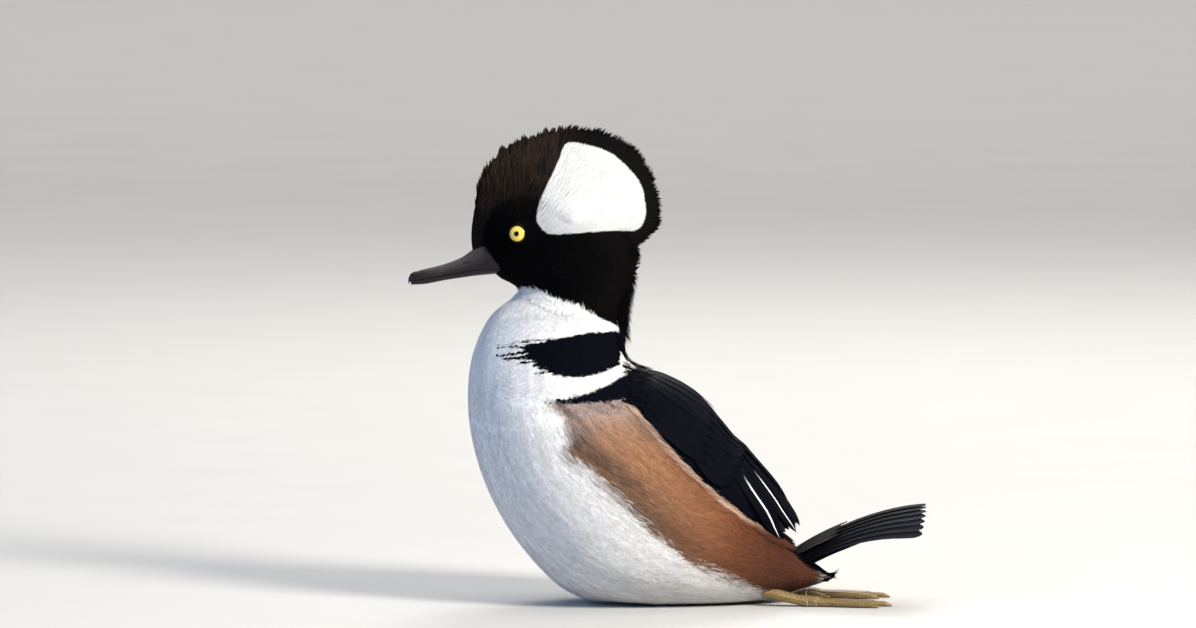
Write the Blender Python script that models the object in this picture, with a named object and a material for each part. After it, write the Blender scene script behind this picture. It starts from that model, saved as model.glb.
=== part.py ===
"""A drake hooded merganser with its crest raised, life size, sitting on its belly with its feet tucked under.

The bill points along -X, the tail along +X, the bird's left is -Y, and the belly rests on z = 0.
"""

import math
from random import Random

import bmesh
import bpy
import numpy as np
from mathutils import Vector

MM = 0.001
GAP = 0.3 * MM

# Driving dimensions: the bird's own sizes, from which the stations below are set out
CREST_CENTRE = (-48.0, 196.0)
CREST_FOCUS = (-66.0, 187.0)
CREST_FORE_FOCUS = (-86.0, 158.0)
CREST_ROOT_HALF_WIDTH = 18.0
CREST_RIM_HALF_WIDTH = 1.4
EYE_PLACE = (-75.5, 188.5)
EYE_RADIUS = 6.4
EYE_APERTURE = 4.5
EYE_BULGE = 1.6
LID_HALF_THICKNESS = 0.9
NOSTRIL_PLACE = (-101.5, 173.2)
NOSTRIL_SIZE = (2.4, 0.8)
NOSTRIL_DEPTH = 1.0
TAIL_ROOT = (60.0, 20.5)
TAIL_LENGTH = 79.0
TAIL_RISE_AT_ROOT = math.radians(40.0)
TAIL_RISE_AT_TIP = math.radians(5.0)
TAIL_TENT = 0.010


# The legs: how far they lie to the side, the shank's places (x, share of that spread, height, radius)
# and where the foot starts behind it
LEG_SPREAD = 20.5
SHANK = [(43.0, 0.9, 9.5, 3.4), (56.0, 1.0, 6.0, 2.8), (66.0, 1.0, 3.6, 2.5), (71.0, 1.0, 2.8, 2.9)]
ANKLE = 71.0

# The foot: each long toe's length and angle, the claw's length, the web's rise over the floor,
# and the web's thickness at shares of the toes
TOES = [(33.0, 13.0), (39.0, 0.0), (34.0, -11.0)]
CLAW_LENGTH = 3.6
HIND_TOE = [(2.0, 2.0, 2.4, 1.5), (7.0, 5.5, 1.7, 1.5), (12.0, 8.0, 1.1, 0.5)]
WEB_RISE = 0.35
WEB_SECTIONS = [(0.06, 1.6), (0.5, 1.2), (0.86, 0.9), (0.95, 0.6)]
WEB_SCOOP = 0.9

# How finely the lofts are divided
BODY_RINGS = 42
BODY_SIDES = 28
BILL_ARC = 7

# The body from the vent to the crown: each station's back point and front point in side view (x, z),
# its half width, and how much wider it is towards its back than towards its front, in millimetres
BODY_STATIONS = [
    ("vent_end", (83.5, 14.8), (84.0, 12.6), 3.0, 0.0),
    ("vent_tip", (79.0, 18.5), (81.0, 10.0), 10.0, 0.0),
    ("vent", (68.5, 26.5), (71.5, 6.5), 17.0, 0.0),
    ("rump", (55.0, 42.0), (55.5, 1.5), 26.0, -0.05),
    ("lower_belly", (46.0, 57.5), (34.5, -2.0), 36.0, -0.10),
    ("belly", (36.0, 72.5), (9.5, -3.5), 45.0, -0.12),
    ("keel", (25.5, 87.0), (-18.5, -3.5), 51.0, -0.12),
    ("fore_belly", (15.5, 101.5), (-47.5, 2.0), 54.5, -0.12),
    ("lower_breast", (5.0, 111.0), (-69.0, 21.0), 56.0, -0.10),
    ("breast", (-3.5, 116.5), (-85.0, 43.5), 56.0, -0.08),
    ("full_breast", (-13.0, 120.0), (-95.5, 67.0), 54.0, -0.06),
    ("upper_breast", (-18.5, 124.5), (-101.0, 90.5), 50.0, -0.04),
    ("bosom", (-20.0, 130.5), (-101.5, 113.5), 44.0, -0.02),
    ("shoulder", (-20.0, 137.0), (-98.0, 131.0), 37.0, 0.0),
    ("collar", (-19.5, 143.5), (-90.5, 146.0), 30.0, 0.04),
    ("ruff", (-19.0, 150.0), (-82.0, 153.5), 24.5, 0.08),
    ("throat", (-18.0, 156.5), (-75.0, 158.5), 21.0, 0.12),
    ("chin", (-16.5, 164.5), (-81.5, 163.2), 19.8, 0.20),
    ("jaw", (-15.5, 172.5), (-89.0, 166.8), 19.2, 0.28),
    ("lore", (-15.5, 180.5), (-93.5, 176.5), 18.8, 0.34),
    ("eye", (-19.0, 189.0), (-95.0, 188.5), 18.2, 0.34),
    ("brow", (-27.0, 197.5), (-91.5, 197.5), 16.0, 0.30),
    ("crown", (-37.0, 205.0), (-84.5, 204.5), 12.0, 0.20),
    ("crown_top", (-50.0, 209.5), (-72.0, 209.5), 6.0, 0.0),
]

# The crest from its centre: angle in degrees from the tail side over the top, reach of its rim,
# and reach of the head under it
CREST_OUTLINE = [
    ("nape", -22.0, 38.5, 33.0),
    ("hind_edge", 5.0, 45.5, 27.0),
    ("hind_corner", 45.0, 48.0, 18.0),
    ("top", 92.0, 46.5, 13.0),
    ("fore_corner", 138.0, 49.0, 28.0),
    ("forehead", 168.0, 48.5, 40.0),
    ("bill_root", 194.0, 47.5, 46.0),
]
CREST_HEEL_REACH = 20.0
CREST_CORE_LEVEL = 0.5
CREST_CORE_SHARES = [0.15, 0.5, 0.78, 0.94, 1.0]

# The crest's feathers in tiers: count, root and tip between the head (0) and the rim (1),
# lift over the crest's face at the root and at the tip, and half width
CREST_TIERS = [
    ("rim", 29, 0.34, 1.00, 0.0, 0.0, 4.7),
    ("outer", 18, 0.30, 0.84, -1.3, 0.0, 4.9),
    ("middle", 14, 0.14, 0.60, -1.3, 0.8, 4.8),
    ("inner", 11, -0.45, 0.40, -0.5, 1.2, 4.8),
]
CREST_FEATHER_ARC = (-20.0, 180.0)
CREST_SHORTEST_FEATHER = 15.0
CREST_LAYER = 0.65

# The two cuts that part the body, as two points each in side view, tail side first
NECK_CUT = ((-19.0, 138.2), (-74.6, 159.2))
HEAD_CUT = ((-15.0, 180.7), (-82.5, 161.7))

# The bill: x, the ridge's height, the mouth line's height, the keel's height and the half width
BILL_STATIONS = [
    ("tip", -130.6, 165.0, 162.1, 161.7, 1.8),
    ("nail", -128.6, 167.8, 163.6, 161.6, 3.0),
    ("fore", -122.0, 169.6, 164.9, 162.0, 3.6),
    ("middle", -112.0, 172.2, 166.6, 163.9, 3.8),
    ("nostril", -103.5, 175.6, 168.2, 165.2, 4.4),
    ("base", -97.0, 180.0, 169.4, 166.1, 5.2),
    ("gape", -89.0, 183.5, 170.0, 166.9, 6.3),
    ("root", -80.0, 185.0, 170.3, 167.5, 7.0),
]
# How square the bill's halves are in section, and where the lower one starts, in the hook of the upper one
BILL_FULLNESS = 0.75
LOWER_BILL_START = 0.8

# The folded wing on the body's own stations: station, upper and lower angle from the back, rise of its face
WING_STATIONS = [
    ("shoulder", 10.3, 16.0, 38.0, 1.3),
    ("coverts", 9.2, 9.0, 43.0, 2.0),
    ("fold", 8.0, 6.5, 47.0, 2.7),
    ("tertial_roots", 6.8, 5.5, 51.0, 4.2),
    ("tertials", 5.6, 5.0, 54.0, 7.2),
    ("tertial_ends", 4.4, 6.0, 56.0, 12.0),
    ("primaries", 3.4, 8.0, 58.0, 16.5),
    ("wing_tip", 2.2, 11.0, 60.0, 13.5),
]
WING_CORE_END = 5.0
WING_CORE_LEVEL = 0.55
WING_ROOT_DEPTH = 2.0
WING_LAYER = 0.75

# The wing's feathers in rows: count, root and tip along the wing's stations, first and last place across it,
# level in the wing's rise at the root and at the tip, and half width
WING_ROWS = [
    ("primary", 4, 4.2, 6.9, 0.35, 0.80, 0.35, 0.62, 4.6),
    ("tertial", 5, 3.3, 7.0, 0.10, 0.84, 0.60, 1.04, 5.4),
    ("hind_scapular", 5, 1.5, 4.5, 0.10, 0.88, 0.50, 1.12, 5.6),
    ("fore_scapular", 5, 0.32, 2.6, 0.14, 0.90, 0.54, 1.15, 5.2),
]

# The tail's feathers: pairs, angle between neighbours, and how far back the fan's focus lies
TAIL_PAIRS = 7
TAIL_STEP = math.radians(2.5)
TAIL_FOCUS = 20.0
TAIL_HALF_WIDTH = 4.4
TAIL_LAYER = 0.8

# The flesh at the tail's root: place along it, half width and thickness
TAIL_CORE = [(0.0, 7.5, 4.6), (9.0, 9.0, 4.4), (18.0, 10.5, 3.2), (25.0, 10.0, 1.2)]

# The coverts over and under the tail's root: root and tip along it, how much sooner each next one out ends,
# depth at the root and the tip, how much deeper each next one out lies, and half width
TAIL_COVERTS = [
    ("upper", 4.0, 36.0, 3.0, (2.8, 1.5), 0.7, 4.6),
    ("under", 6.0, 48.0, 3.5, (-6.6, -6.2), 0.0, 4.8),
]
TAIL_COVERT_STEP = math.radians(6.5)

# A feather's outline: its sections' places along it, and their widths as shares of its own
CREST_FEATHER = [(0.0, 0.55), (0.5, 1.0), (0.82, 0.72), (1.0, 0.0)]
WING_FEATHER = [(0.0, 0.6), (0.3, 0.95), (0.6, 1.0), (0.85, 0.72), (1.0, 0.0)]
TAIL_FEATHER = [(0.0, 0.55), (0.4, 0.85), (0.8, 1.0), (0.96, 0.66), (1.0, 0.0)]
FEATHER_HALF_THICKNESS = 0.45

COLOURS = {
    "torso": (0.62, 0.60, 0.58),
    "neck": (0.012, 0.011, 0.012),
    "head": (0.014, 0.012, 0.012),
    "crest": (0.75, 0.75, 0.75),
    "bill": (0.022, 0.020, 0.024),
    "eye": (0.85, 0.62, 0.05),
    "wing": (0.012, 0.012, 0.016),
    "tail": (0.045, 0.038, 0.040),
    "foot": (0.30, 0.19, 0.06),
}


def clear_scene():
    for thing in list(bpy.data.objects):
        bpy.data.objects.remove(thing, do_unlink=True)


def collection_named(name):
    found = bpy.data.collections.new(name)
    bpy.context.scene.collection.children.link(found)
    return found


def material(slot, roughness):
    made = bpy.data.materials.new(slot)
    made.use_nodes = True
    shader = made.node_tree.nodes["Principled BSDF"]
    shader.inputs["Base Color"].default_value = (*COLOURS[slot], 1.0)
    shader.inputs["Roughness"].default_value = roughness
    shader.inputs["Metallic"].default_value = 0.0
    return made


def spline(values, at):
    """The value at a place along a list of stations, on a smooth curve through all of them."""
    values = np.asarray(values, float)
    last = len(values) - 1
    at = min(max(at, 0.0), float(last))
    i = min(int(at), last - 1)
    t = at - i
    p1, p2 = values[i], values[i + 1]
    p0 = values[i - 1] if i > 0 else 2 * p1 - p2
    p3 = values[i + 2] if i + 2 <= last else 2 * p2 - p1
    bend = 2 * p0 - 5 * p1 + 4 * p2 - p3
    return p1 + 0.5 * t * (p2 - p0 + t * (bend + t * (3 * (p1 - p2) + p3 - p0)))


def body_section(station):
    """Centre, half height vector, half width and taper of the body at a station, in millimetres."""
    rows = [(*back, *front, width, taper) for _, back, front, width, taper in BODY_STATIONS]
    bx, bz, fx, fz, width, taper = spline(rows, station)
    centre = np.array([(bx + fx) / 2, 0.0, (bz + fz) / 2])
    up = np.array([(bx - fx) / 2, 0.0, (bz - fz) / 2])
    return centre, up, width, taper


def body_point(station, angle, lift=0.0):
    """A point on the body: angle 0 is the middle of the back and 180 degrees the middle of the belly."""
    centre, up, width, taper = body_section(station)
    tall = float(np.linalg.norm(up))
    across = (width + lift) * math.sin(angle) * (1 + taper * math.cos(angle))
    along = up / tall * (tall + lift) * math.cos(angle)
    place = centre + along + np.array([0.0, across, 0.0])
    return place


def on_floor(points):
    """Flattens what would pass below the floor, so that the belly rests on one level patch."""
    points = np.array(points, float)
    points[..., 2] = np.maximum(points[..., 2], 0.0)
    return points


def face_outwards(shape):
    """Turns every face of a closed shape outwards."""
    bmesh.ops.recalc_face_normals(shape, faces=shape.faces)
    if shape.calc_volume(signed=True) < 0:
        bmesh.ops.reverse_faces(shape, faces=shape.faces)


def mesh_object(name, points, faces, home, shader=None):
    """An object from points in millimetres, with its faces turned outwards."""
    mesh = bpy.data.meshes.new(name)
    mesh.from_pydata([tuple(float(v) * MM for v in p) for p in points], [], faces)
    shape = bmesh.new()
    shape.from_mesh(mesh)
    face_outwards(shape)
    shape.to_mesh(mesh)
    shape.free()
    made = bpy.data.objects.new(name, mesh)
    home.objects.link(made)
    if shader:
        mesh.materials.append(shader)
    return made


def loft(name, rings, home, shader=None, flat=False):
    """A closed skin over rings of equal length. A round ring's end gets a point in its middle, and a flat
    one's, whose second half runs back under its first, is closed straight across."""
    count, sides = len(rings), len(rings[0])
    points = [p for ring in rings for p in ring]
    faces = []
    for i in range(count - 1):
        for j in range(sides):
            k = (j + 1) % sides
            faces.append((i * sides + j, i * sides + k, (i + 1) * sides + k, (i + 1) * sides + j))
    for row in (0, count - 1):
        first = row * sides
        if flat:
            for j in range(sides // 2 - 1):
                faces.append((first + j, first + j + 1, first + sides - 2 - j, first + sides - 1 - j))
            continue
        points.append(np.mean(rings[row], axis=0))
        for j in range(sides):
            faces.append((first + j, first + (j + 1) % sides, len(points) - 1))
    return mesh_object(name, points, faces, home, shader)


def body_rings(lift=0.0):
    """The rings of the whole body, raised outwards by a lift in millimetres."""
    rings = []
    for station in np.linspace(0, len(BODY_STATIONS) - 1, BODY_RINGS):
        angles = [2 * math.pi * j / BODY_SIDES for j in range(BODY_SIDES)]
        rings.append([body_point(station, a, lift) for a in angles])
    return on_floor(rings) if lift == 0 else np.array(rings)


def apply_modifier(thing, modifier):
    with bpy.context.temp_override(object=thing, active_object=thing, selected_objects=[thing]):
        bpy.ops.object.modifier_apply(modifier=modifier.name)


def keep_largest(thing):
    """Keeps only the largest closed surface of a mesh, also where another one touches it along an edge."""
    shape = bmesh.new()
    shape.from_mesh(thing.data)
    bmesh.ops.triangulate(shape, faces=shape.faces)
    left = set(shape.faces)
    pieces = []
    while left:
        piece, todo = set(), [left.pop()]
        while todo:
            face = todo.pop()
            piece.add(face)
            for edge in face.edges:
                for other in edge.link_faces if len(edge.link_faces) == 2 else ():
                    if other in left:
                        left.remove(other)
                        todo.append(other)
        pieces.append(piece)
    pieces.sort(key=lambda piece: sum(face.calc_area() for face in piece))
    scraps = [face for piece in pieces[:-1] for face in piece]
    bmesh.ops.delete(shape, geom=scraps, context="FACES")
    shape.to_mesh(thing.data)
    shape.free()


def cut_away(thing, cutter, solver="EXACT"):
    """Takes the cutter's shape out of a thing."""
    cut = thing.modifiers.new("cut", "BOOLEAN")
    cut.operation = "DIFFERENCE"
    cut.solver = solver
    cut.object = cutter
    apply_modifier(thing, cut)
    keep_largest(thing)


def join_all(thing, pieces, solver="EXACT"):
    """Unites a collection of closed pieces with a thing and removes them."""
    union = thing.modifiers.new("union", "BOOLEAN")
    union.operation = "UNION"
    union.solver = solver
    union.operand_type = "COLLECTION"
    union.collection = pieces
    apply_modifier(thing, union)
    for piece in list(pieces.objects):
        bpy.data.objects.remove(piece, do_unlink=True)
    bpy.data.collections.remove(pieces)
    keep_largest(thing)


def guide(thing):
    """Marks a cutter, which isn't part of the bird."""
    thing.hide_render = True
    thing.display_type = "WIRE"
    return thing


def keep_side(thing, cut, side):
    """Cuts a mesh at a sloping plane and closes it, keeping half a gap clear of that plane."""
    (x0, z0), (x1, z1) = cut
    along = Vector((x1 - x0, 0.0, z1 - z0)).normalized()
    normal = Vector((-along.z, 0.0, along.x))
    if normal.z < 0:
        normal.negate()
    away = normal * side
    place = Vector((x0 * MM, 0.0, z0 * MM)) + away * GAP / 2
    shape = bmesh.new()
    shape.from_mesh(thing.data)
    everything = list(shape.verts) + list(shape.edges) + list(shape.faces)
    bmesh.ops.bisect_plane(shape, geom=everything, plane_co=place, plane_no=away, clear_inner=True)
    edges = [edge for edge in shape.edges if edge.is_boundary]
    bmesh.ops.holes_fill(shape, edges=edges, sides=0)
    face_outwards(shape)
    shape.to_mesh(thing.data)
    shape.free()


def make_body(home):
    """Torso, neck and head: one loft from the vent to the crown, parted by two thin cuts."""
    rings = body_rings()
    parts = {}
    for name, roughness in (("torso", 0.75), ("neck", 0.6), ("head", 0.6)):
        parts[name] = loft(name, rings, home, material(name, roughness))
    keep_side(parts["torso"], NECK_CUT, -1)
    keep_side(parts["neck"], NECK_CUT, 1)
    keep_side(parts["neck"], HEAD_CUT, -1)
    keep_side(parts["head"], HEAD_CUT, 1)
    return parts


def eye_socket(side):
    """The eye's middle and the way it looks out, square to the face."""
    station = [row[0] for row in BODY_STATIONS].index("eye")
    best = None
    for step in range(-20, 21):
        for angle in range(90, 180, 2):
            place = body_point(station + step / 20, math.radians(angle))
            miss = math.hypot(place[0] - EYE_PLACE[0], place[2] - EYE_PLACE[1])
            if best is None or miss < best[0]:
                best = (miss, station + step / 20, math.radians(angle))
    _, at, angle = best
    here = body_point(at, angle)
    along = body_point(at + 0.2, angle) - here
    around = body_point(at, angle + 0.1) - here
    out = np.cross(along, around)
    out = out / np.linalg.norm(out) * math.copysign(1, np.cross(along, around)[1])
    centre = here + out * (EYE_BULGE - EYE_RADIUS)
    mirror = np.array([1.0, side, 1.0])
    return centre * mirror, out * mirror


def ball(name, centre, radii, home, shader=None, segments=16, rings=9):
    """A ball with its own radius along each axis, whose poles point sideways."""
    shape = bmesh.new()
    bmesh.ops.create_uvsphere(shape, u_segments=segments, v_segments=rings, radius=MM)
    for vert in shape.verts:
        x, y, z = vert.co
        vert.co = (x * radii[0], -z * radii[1], y * radii[2])
    mesh = bpy.data.meshes.new(name)
    shape.to_mesh(mesh)
    shape.free()
    made = bpy.data.objects.new(name, mesh)
    made.location = Vector(centre) * MM
    home.objects.link(made)
    if shader:
        mesh.materials.append(shader)
    return made


def lid_ring(name, centre, out, home):
    """The bare rim of the eyelids, a ring round the opening for the eye."""
    place = centre + out * math.sqrt(EYE_RADIUS**2 - EYE_APERTURE**2)
    bpy.ops.mesh.primitive_torus_add(
        major_segments=20,
        minor_segments=6,
        major_radius=(EYE_APERTURE + 0.8 * LID_HALF_THICKNESS) * MM,
        minor_radius=LID_HALF_THICKNESS * MM,
        location=Vector(place) * MM,
        rotation=Vector(out).to_track_quat("Z", "Y").to_euler(),
    )
    made = bpy.context.active_object
    made.name = name
    for old in list(made.users_collection):
        old.objects.unlink(made)
    home.objects.link(made)
    return made


def make_eyes(head, home, cutters):
    """Both eyes in their sockets, with the lids joined to the head."""
    shader = material("eye", 0.05)
    lids = collection_named("lids")
    sides = {"left": -1, "right": 1}
    for name, side in sides.items():
        lid_ring("lid_" + name, *eye_socket(side), lids)
    join_all(head, lids)
    for name, side in sides.items():
        centre, _ = eye_socket(side)
        socket = guide(ball("socket_" + name, centre, [EYE_RADIUS + GAP / MM] * 3, cutters))
        cut_away(head, socket, "MANIFOLD")
        ball("eye_" + name, centre, [EYE_RADIUS] * 3, home, shader)


def mandible(name, upper, home, shader):
    """The upper or the lower half of the bill, from its tip to where it passes under the face."""
    rings = []
    last = len(BILL_STATIONS) - 1
    # The hooked nail of the upper half closes over the tip of the lower one
    first = 0.0 if upper else LOWER_BILL_START
    gap = GAP / MM / 2
    for at in np.linspace(first, last, 2 * last + 1):
        x, ridge, mouth, keel, half = spline([row[1:] for row in BILL_STATIONS], at)
        flat, far = (mouth + gap, ridge) if upper else (mouth - gap, keel)
        ring = []
        for j in range(BILL_ARC + 1):
            a = math.pi * j / BILL_ARC
            ring.append((x, half * math.cos(a), flat + (far - flat) * math.sin(a) ** BILL_FULLNESS))
        for y in (-0.5, 0.0, 0.5):
            ring.append((x, half * y, flat))
        rings.append(ring)
    return loft(name, rings, home, shader)


def make_bill(home, face, cutters):
    """The bill's two halves, cut clear of the face, with a slit of a nostril on each side."""
    shader = material("bill", 0.35)
    upper = mandible("bill_upper", True, home, shader)
    lower = mandible("bill_lower", False, home, shader)
    for half in (upper, lower):
        cut_away(half, face)
    x, z = NOSTRIL_PLACE
    at = np.interp(x, [row[1] for row in BILL_STATIONS], range(len(BILL_STATIONS)))
    ridge, mouth, _, half_width = spline([row[2:] for row in BILL_STATIONS], at)
    height = ((z - mouth) / (ridge - mouth)) ** (1 / BILL_FULLNESS)
    wall = half_width * math.sqrt(1 - height**2)
    for side in (-1, 1):
        size = (NOSTRIL_SIZE[0], 2 * NOSTRIL_DEPTH, NOSTRIL_SIZE[1])
        slit = guide(ball("nostril", (x, side * (wall + NOSTRIL_DEPTH), z), size, cutters))
        cut_away(upper, slit)


def blade(name, spine, across, half_widths, home):
    """A feather: a thin tapered vane, thickest along its shaft and split alike on both faces."""
    spine = [np.array(p, float) for p in spine]
    points = []
    for i, half_width in enumerate(half_widths[:-1]):
        along = spine[i + 1] - spine[max(i - 1, 0)]
        side = np.array(across[i], float)
        face = np.cross(along, side)
        side = side / np.linalg.norm(side) * half_width
        face = face / np.linalg.norm(face) * FEATHER_HALF_THICKNESS
        points += [spine[i] - side, spine[i] + face, spine[i] + side, spine[i] - face]
    points.append(spine[-1])
    tip = len(points) - 1
    faces = [(0, 1, 3), (2, 1, 3)]
    for a in range(0, tip, 4):
        b = a + 4
        for edge, ridge in ((0, 1), (2, 1), (0, 3), (2, 3)):
            if b < tip:
                faces.append((a + edge, a + ridge, b + ridge))
                faces.append((a + edge, b + ridge, b + edge))
            else:
                faces.append((a + edge, a + ridge, tip))
    return mesh_object(name, points, faces, home)


def crest_reaches(angle):
    """Distance from the crest's centre to its rim and to the head under it, at an angle in degrees."""
    angles = [row[1] for row in CREST_OUTLINE]
    if angles[0] <= angle <= angles[-1]:
        at = np.interp(angle, angles, range(len(angles)))
        rim, head = spline([row[2:] for row in CREST_OUTLINE], at)
        return float(rim), float(head)
    return CREST_HEEL_REACH, CREST_HEEL_REACH


def crest_place(angle, level):
    """A point of the crest in side view: level 0 lies on the head and level 1 on the rim."""
    rim, head = crest_reaches(angle)
    reach = head + (rim - head) * level
    a = math.radians(angle)
    return np.array([CREST_CENTRE[0] + reach * math.cos(a), CREST_CENTRE[1] + reach * math.sin(a)])


def crest_half_width(place):
    """Half the crest's thickness at a point in side view: wide at the head and thin at the rim."""
    x, z = place[0] - CREST_CENTRE[0], place[1] - CREST_CENTRE[1]
    angle = math.degrees(math.atan2(z, x))
    angle = angle + 360 if angle < -90 else angle
    share = min(math.hypot(x, z) / crest_reaches(angle)[0], 1.0)
    return CREST_RIM_HALF_WIDTH + (CREST_ROOT_HALF_WIDTH - CREST_RIM_HALF_WIDTH) * (1 - share) ** 1.15


def crest_core(name, home, shader):
    """The crest's inner blade, which reaches half way from the head to the rim, under the feathers' faces."""
    angles = range(-30, 330, 15)
    rings = []
    for side in (1, -1):
        for share in CREST_CORE_SHARES[::side]:
            ring = []
            for angle in angles:
                edge = crest_place(angle, CREST_CORE_LEVEL)
                place = np.array(CREST_CENTRE) + (edge - CREST_CENTRE) * share
                deep = crest_half_width(place) - 1.2
                half = FEATHER_HALF_THICKNESS + deep * math.sqrt(1 - share**4)
                ring.append((place[0], side * half, place[1]))
            rings.append(ring)
    return loft(name, rings, home, shader)


def crest_feather(tier, i, side, home, draw):
    """One crest feather, which points away from a focus in the cheek, or from the throat at the forehead."""
    name, count, root, tip, root_lift, tip_lift, half_width = tier
    first, last = CREST_FEATHER_ARC
    angle = first + (last - first) * (i + 0.5) / count
    end = crest_place(angle, tip * draw.uniform(0.98, 1.05))
    length = max(np.linalg.norm(end - crest_place(angle, root)) * 1.05, CREST_SHORTEST_FEATHER)
    fore = float(np.interp(angle, (110.0, last), (0.0, 1.0)))
    focus = np.array(CREST_FOCUS) * (1 - fore) + np.array(CREST_FORE_FOCUS) * fore
    inward = (focus - end) / np.linalg.norm(focus - end)
    start = end + inward * length
    # Neighbours lie one over the other without touching
    layer = CREST_LAYER * (1 if i % 2 else -1)
    spine = []
    for share, _ in CREST_FEATHER:
        place = start + (end - start) * share
        y = layer
        if name != "rim":
            lift = root_lift + (tip_lift - root_lift) * share + 0.6 * layer
            y = side * (crest_half_width(place) + lift)
        spine.append((place[0], y, place[1]))
    across = [(-inward[1], 0.0, inward[0])] * len(CREST_FEATHER)
    widths = [half_width * width for _, width in CREST_FEATHER]
    return blade(f"{name}_{i}_{side}", spine, across, widths, home)


def make_crest(home, head_shape):
    """The raised crest, feather by feather in tiers over an inner blade, cut clear of the head."""
    crest = crest_core("crest", home, material("crest", 0.7))
    draw = Random(7)
    feathers = collection_named("crest_feathers")
    for tier in CREST_TIERS:
        for i in range(tier[1]):
            for side in (1,) if tier[0] == "rim" else (1, -1):
                crest_feather(tier, i, side, feathers, draw)
    join_all(crest, feathers, "MANIFOLD")
    cut_away(crest, head_shape, "MANIFOLD")
    return crest


def wing_place(side, at, share, level, sunk=0.0):
    """A point of the folded wing: along its stations, across it, and at a level of its rise."""
    station, upper, lower, rise = spline([row[1:] for row in WING_STATIONS], at)
    angle = math.radians(upper + (lower - upper) * share)
    swell = rise * (1 - 0.7 * share**2) * level - sunk
    place = body_point(station, angle, swell)
    return np.array([place[0], side * place[1], place[2]])


def wing_core(name, side, home, shader):
    """The wing's inner shell, from the shoulder to half way along the tertials."""
    rings = []
    for at in np.linspace(0, WING_CORE_END, 9):
        # It thins and narrows towards its end
        part = (at / WING_CORE_END) ** 3
        shares = np.linspace(0.14 * part, 1 - 0.08 * part, 6)
        outer = [wing_place(side, at, share, WING_CORE_LEVEL * (1 - 0.8 * part)) for share in shares]
        inner = [wing_place(side, at, share, 0.0, WING_ROOT_DEPTH) for share in shares[::-1]]
        rings.append(outer + inner)
    return loft(name, rings, home, shader, flat=True)


def wing_feather(row, i, side, home):
    """One feather of the folded wing, laid on the wing's face."""
    name, count, root, tip, first, last, root_level, tip_level, half_width = row
    part = i / (count - 1)
    share = first + (last - first) * part
    # The feathers nearest the back lie uppermost, and the lower ones end a little sooner
    end = tip - 0.35 * (part if name != "primary" else 1 - part)
    spine, across = [], []
    for along, _ in WING_FEATHER:
        at = root + (end - root) * along
        level = root_level + (tip_level - root_level) * along
        drift = share + 0.06 * math.sin(math.pi * along)
        spine.append(wing_place(side, at, drift, level, WING_LAYER * i * along))
        across.append(wing_place(side, at, drift + 0.1, level) - wing_place(side, at, drift - 0.1, level))
    widths = [half_width * width for _, width in WING_FEATHER]
    return blade(f"{name}_{i}", spine, across, widths, home)


def make_wing(name, side, home, body_shape):
    """A folded wing lying on the back: primaries, tertials and scapulars in overlapping rows."""
    wing = wing_core(name, side, home, material("wing", 0.45))
    feathers = collection_named(name + "_feathers")
    for row in WING_ROWS:
        for i in range(row[1]):
            wing_feather(row, i, side, feathers)
    join_all(wing, feathers, "MANIFOLD")
    cut_away(wing, body_shape, "MANIFOLD")
    return wing


def tail_point(along, across, depth):
    """A point of the fanned tail: along it, across it and through it, on an arc that flattens to the tip."""
    radius = TAIL_LENGTH / (TAIL_RISE_AT_ROOT - TAIL_RISE_AT_TIP)
    rise = TAIL_RISE_AT_ROOT - along / radius
    x = TAIL_ROOT[0] + radius * (math.sin(TAIL_RISE_AT_ROOT) - math.sin(rise))
    z = TAIL_ROOT[1] + radius * (math.cos(rise) - math.cos(TAIL_RISE_AT_ROOT))
    lift = depth - TAIL_TENT * across**2
    return np.array([x - math.sin(rise) * lift, across, z + math.cos(rise) * lift])


def tail_feather(label, angle, root, tip, depths, half_width, home):
    """One feather of the fan, at an angle from its midline, from its depth at the root to that at the tip."""
    spine, across = [], []
    for share, _ in TAIL_FEATHER:
        along = root + (tip - root) * share
        depth = depths[0] + (depths[1] - depths[0]) * share
        y = (along + TAIL_FOCUS) * math.tan(angle)
        spine.append(tail_point(along, y, depth))
        across.append(tail_point(along, y + 1, depth) - tail_point(along, y - 1, depth))
    widths = [half_width * width for _, width in TAIL_FEATHER]
    return blade(label, spine, across, widths, home)


def make_tail(home, body_shape):
    """The cocked tail: overlapping feathers in a fan, with coverts above and below its root."""
    rings = []
    for along, half, thick in TAIL_CORE:
        top = [tail_point(along, y, 0.6 * thick) for y in np.linspace(-half, half, 5)]
        low = [tail_point(along, y, -1.1 * thick) for y in np.linspace(half, -half, 5)]
        rings.append(top + low)
    tail = loft("tail", rings, home, material("tail", 0.6), flat=True)
    feathers = collection_named("tail_feathers")
    for i in range(TAIL_PAIRS):
        tip = TAIL_LENGTH - 0.12 * i**2
        for side in (-1, 1):
            # The left feather of the middle pair lies on top of the right one
            depth = -TAIL_LAYER * (i + (0.5 if side > 0 else 0.0))
            angle = side * TAIL_STEP * (i + 0.5)
            label = f"rectrix_{i}_{side}"
            tail_feather(label, angle, 8.0, tip, (depth, depth), TAIL_HALF_WIDTH, feathers)
    for name, root, tip, sooner, depths, deeper, half_width in TAIL_COVERTS:
        for i in range(-2, 3):
            out = abs(i)
            places = [depth - deeper * out for depth in depths]
            label = f"{name}_covert_{i}"
            tail_feather(label, TAIL_COVERT_STEP * i, root, tip - sooner * out, places, half_width, feathers)
    join_all(tail, feathers, "MANIFOLD")
    cut_away(tail, body_shape, "MANIFOLD")
    return tail


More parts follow.
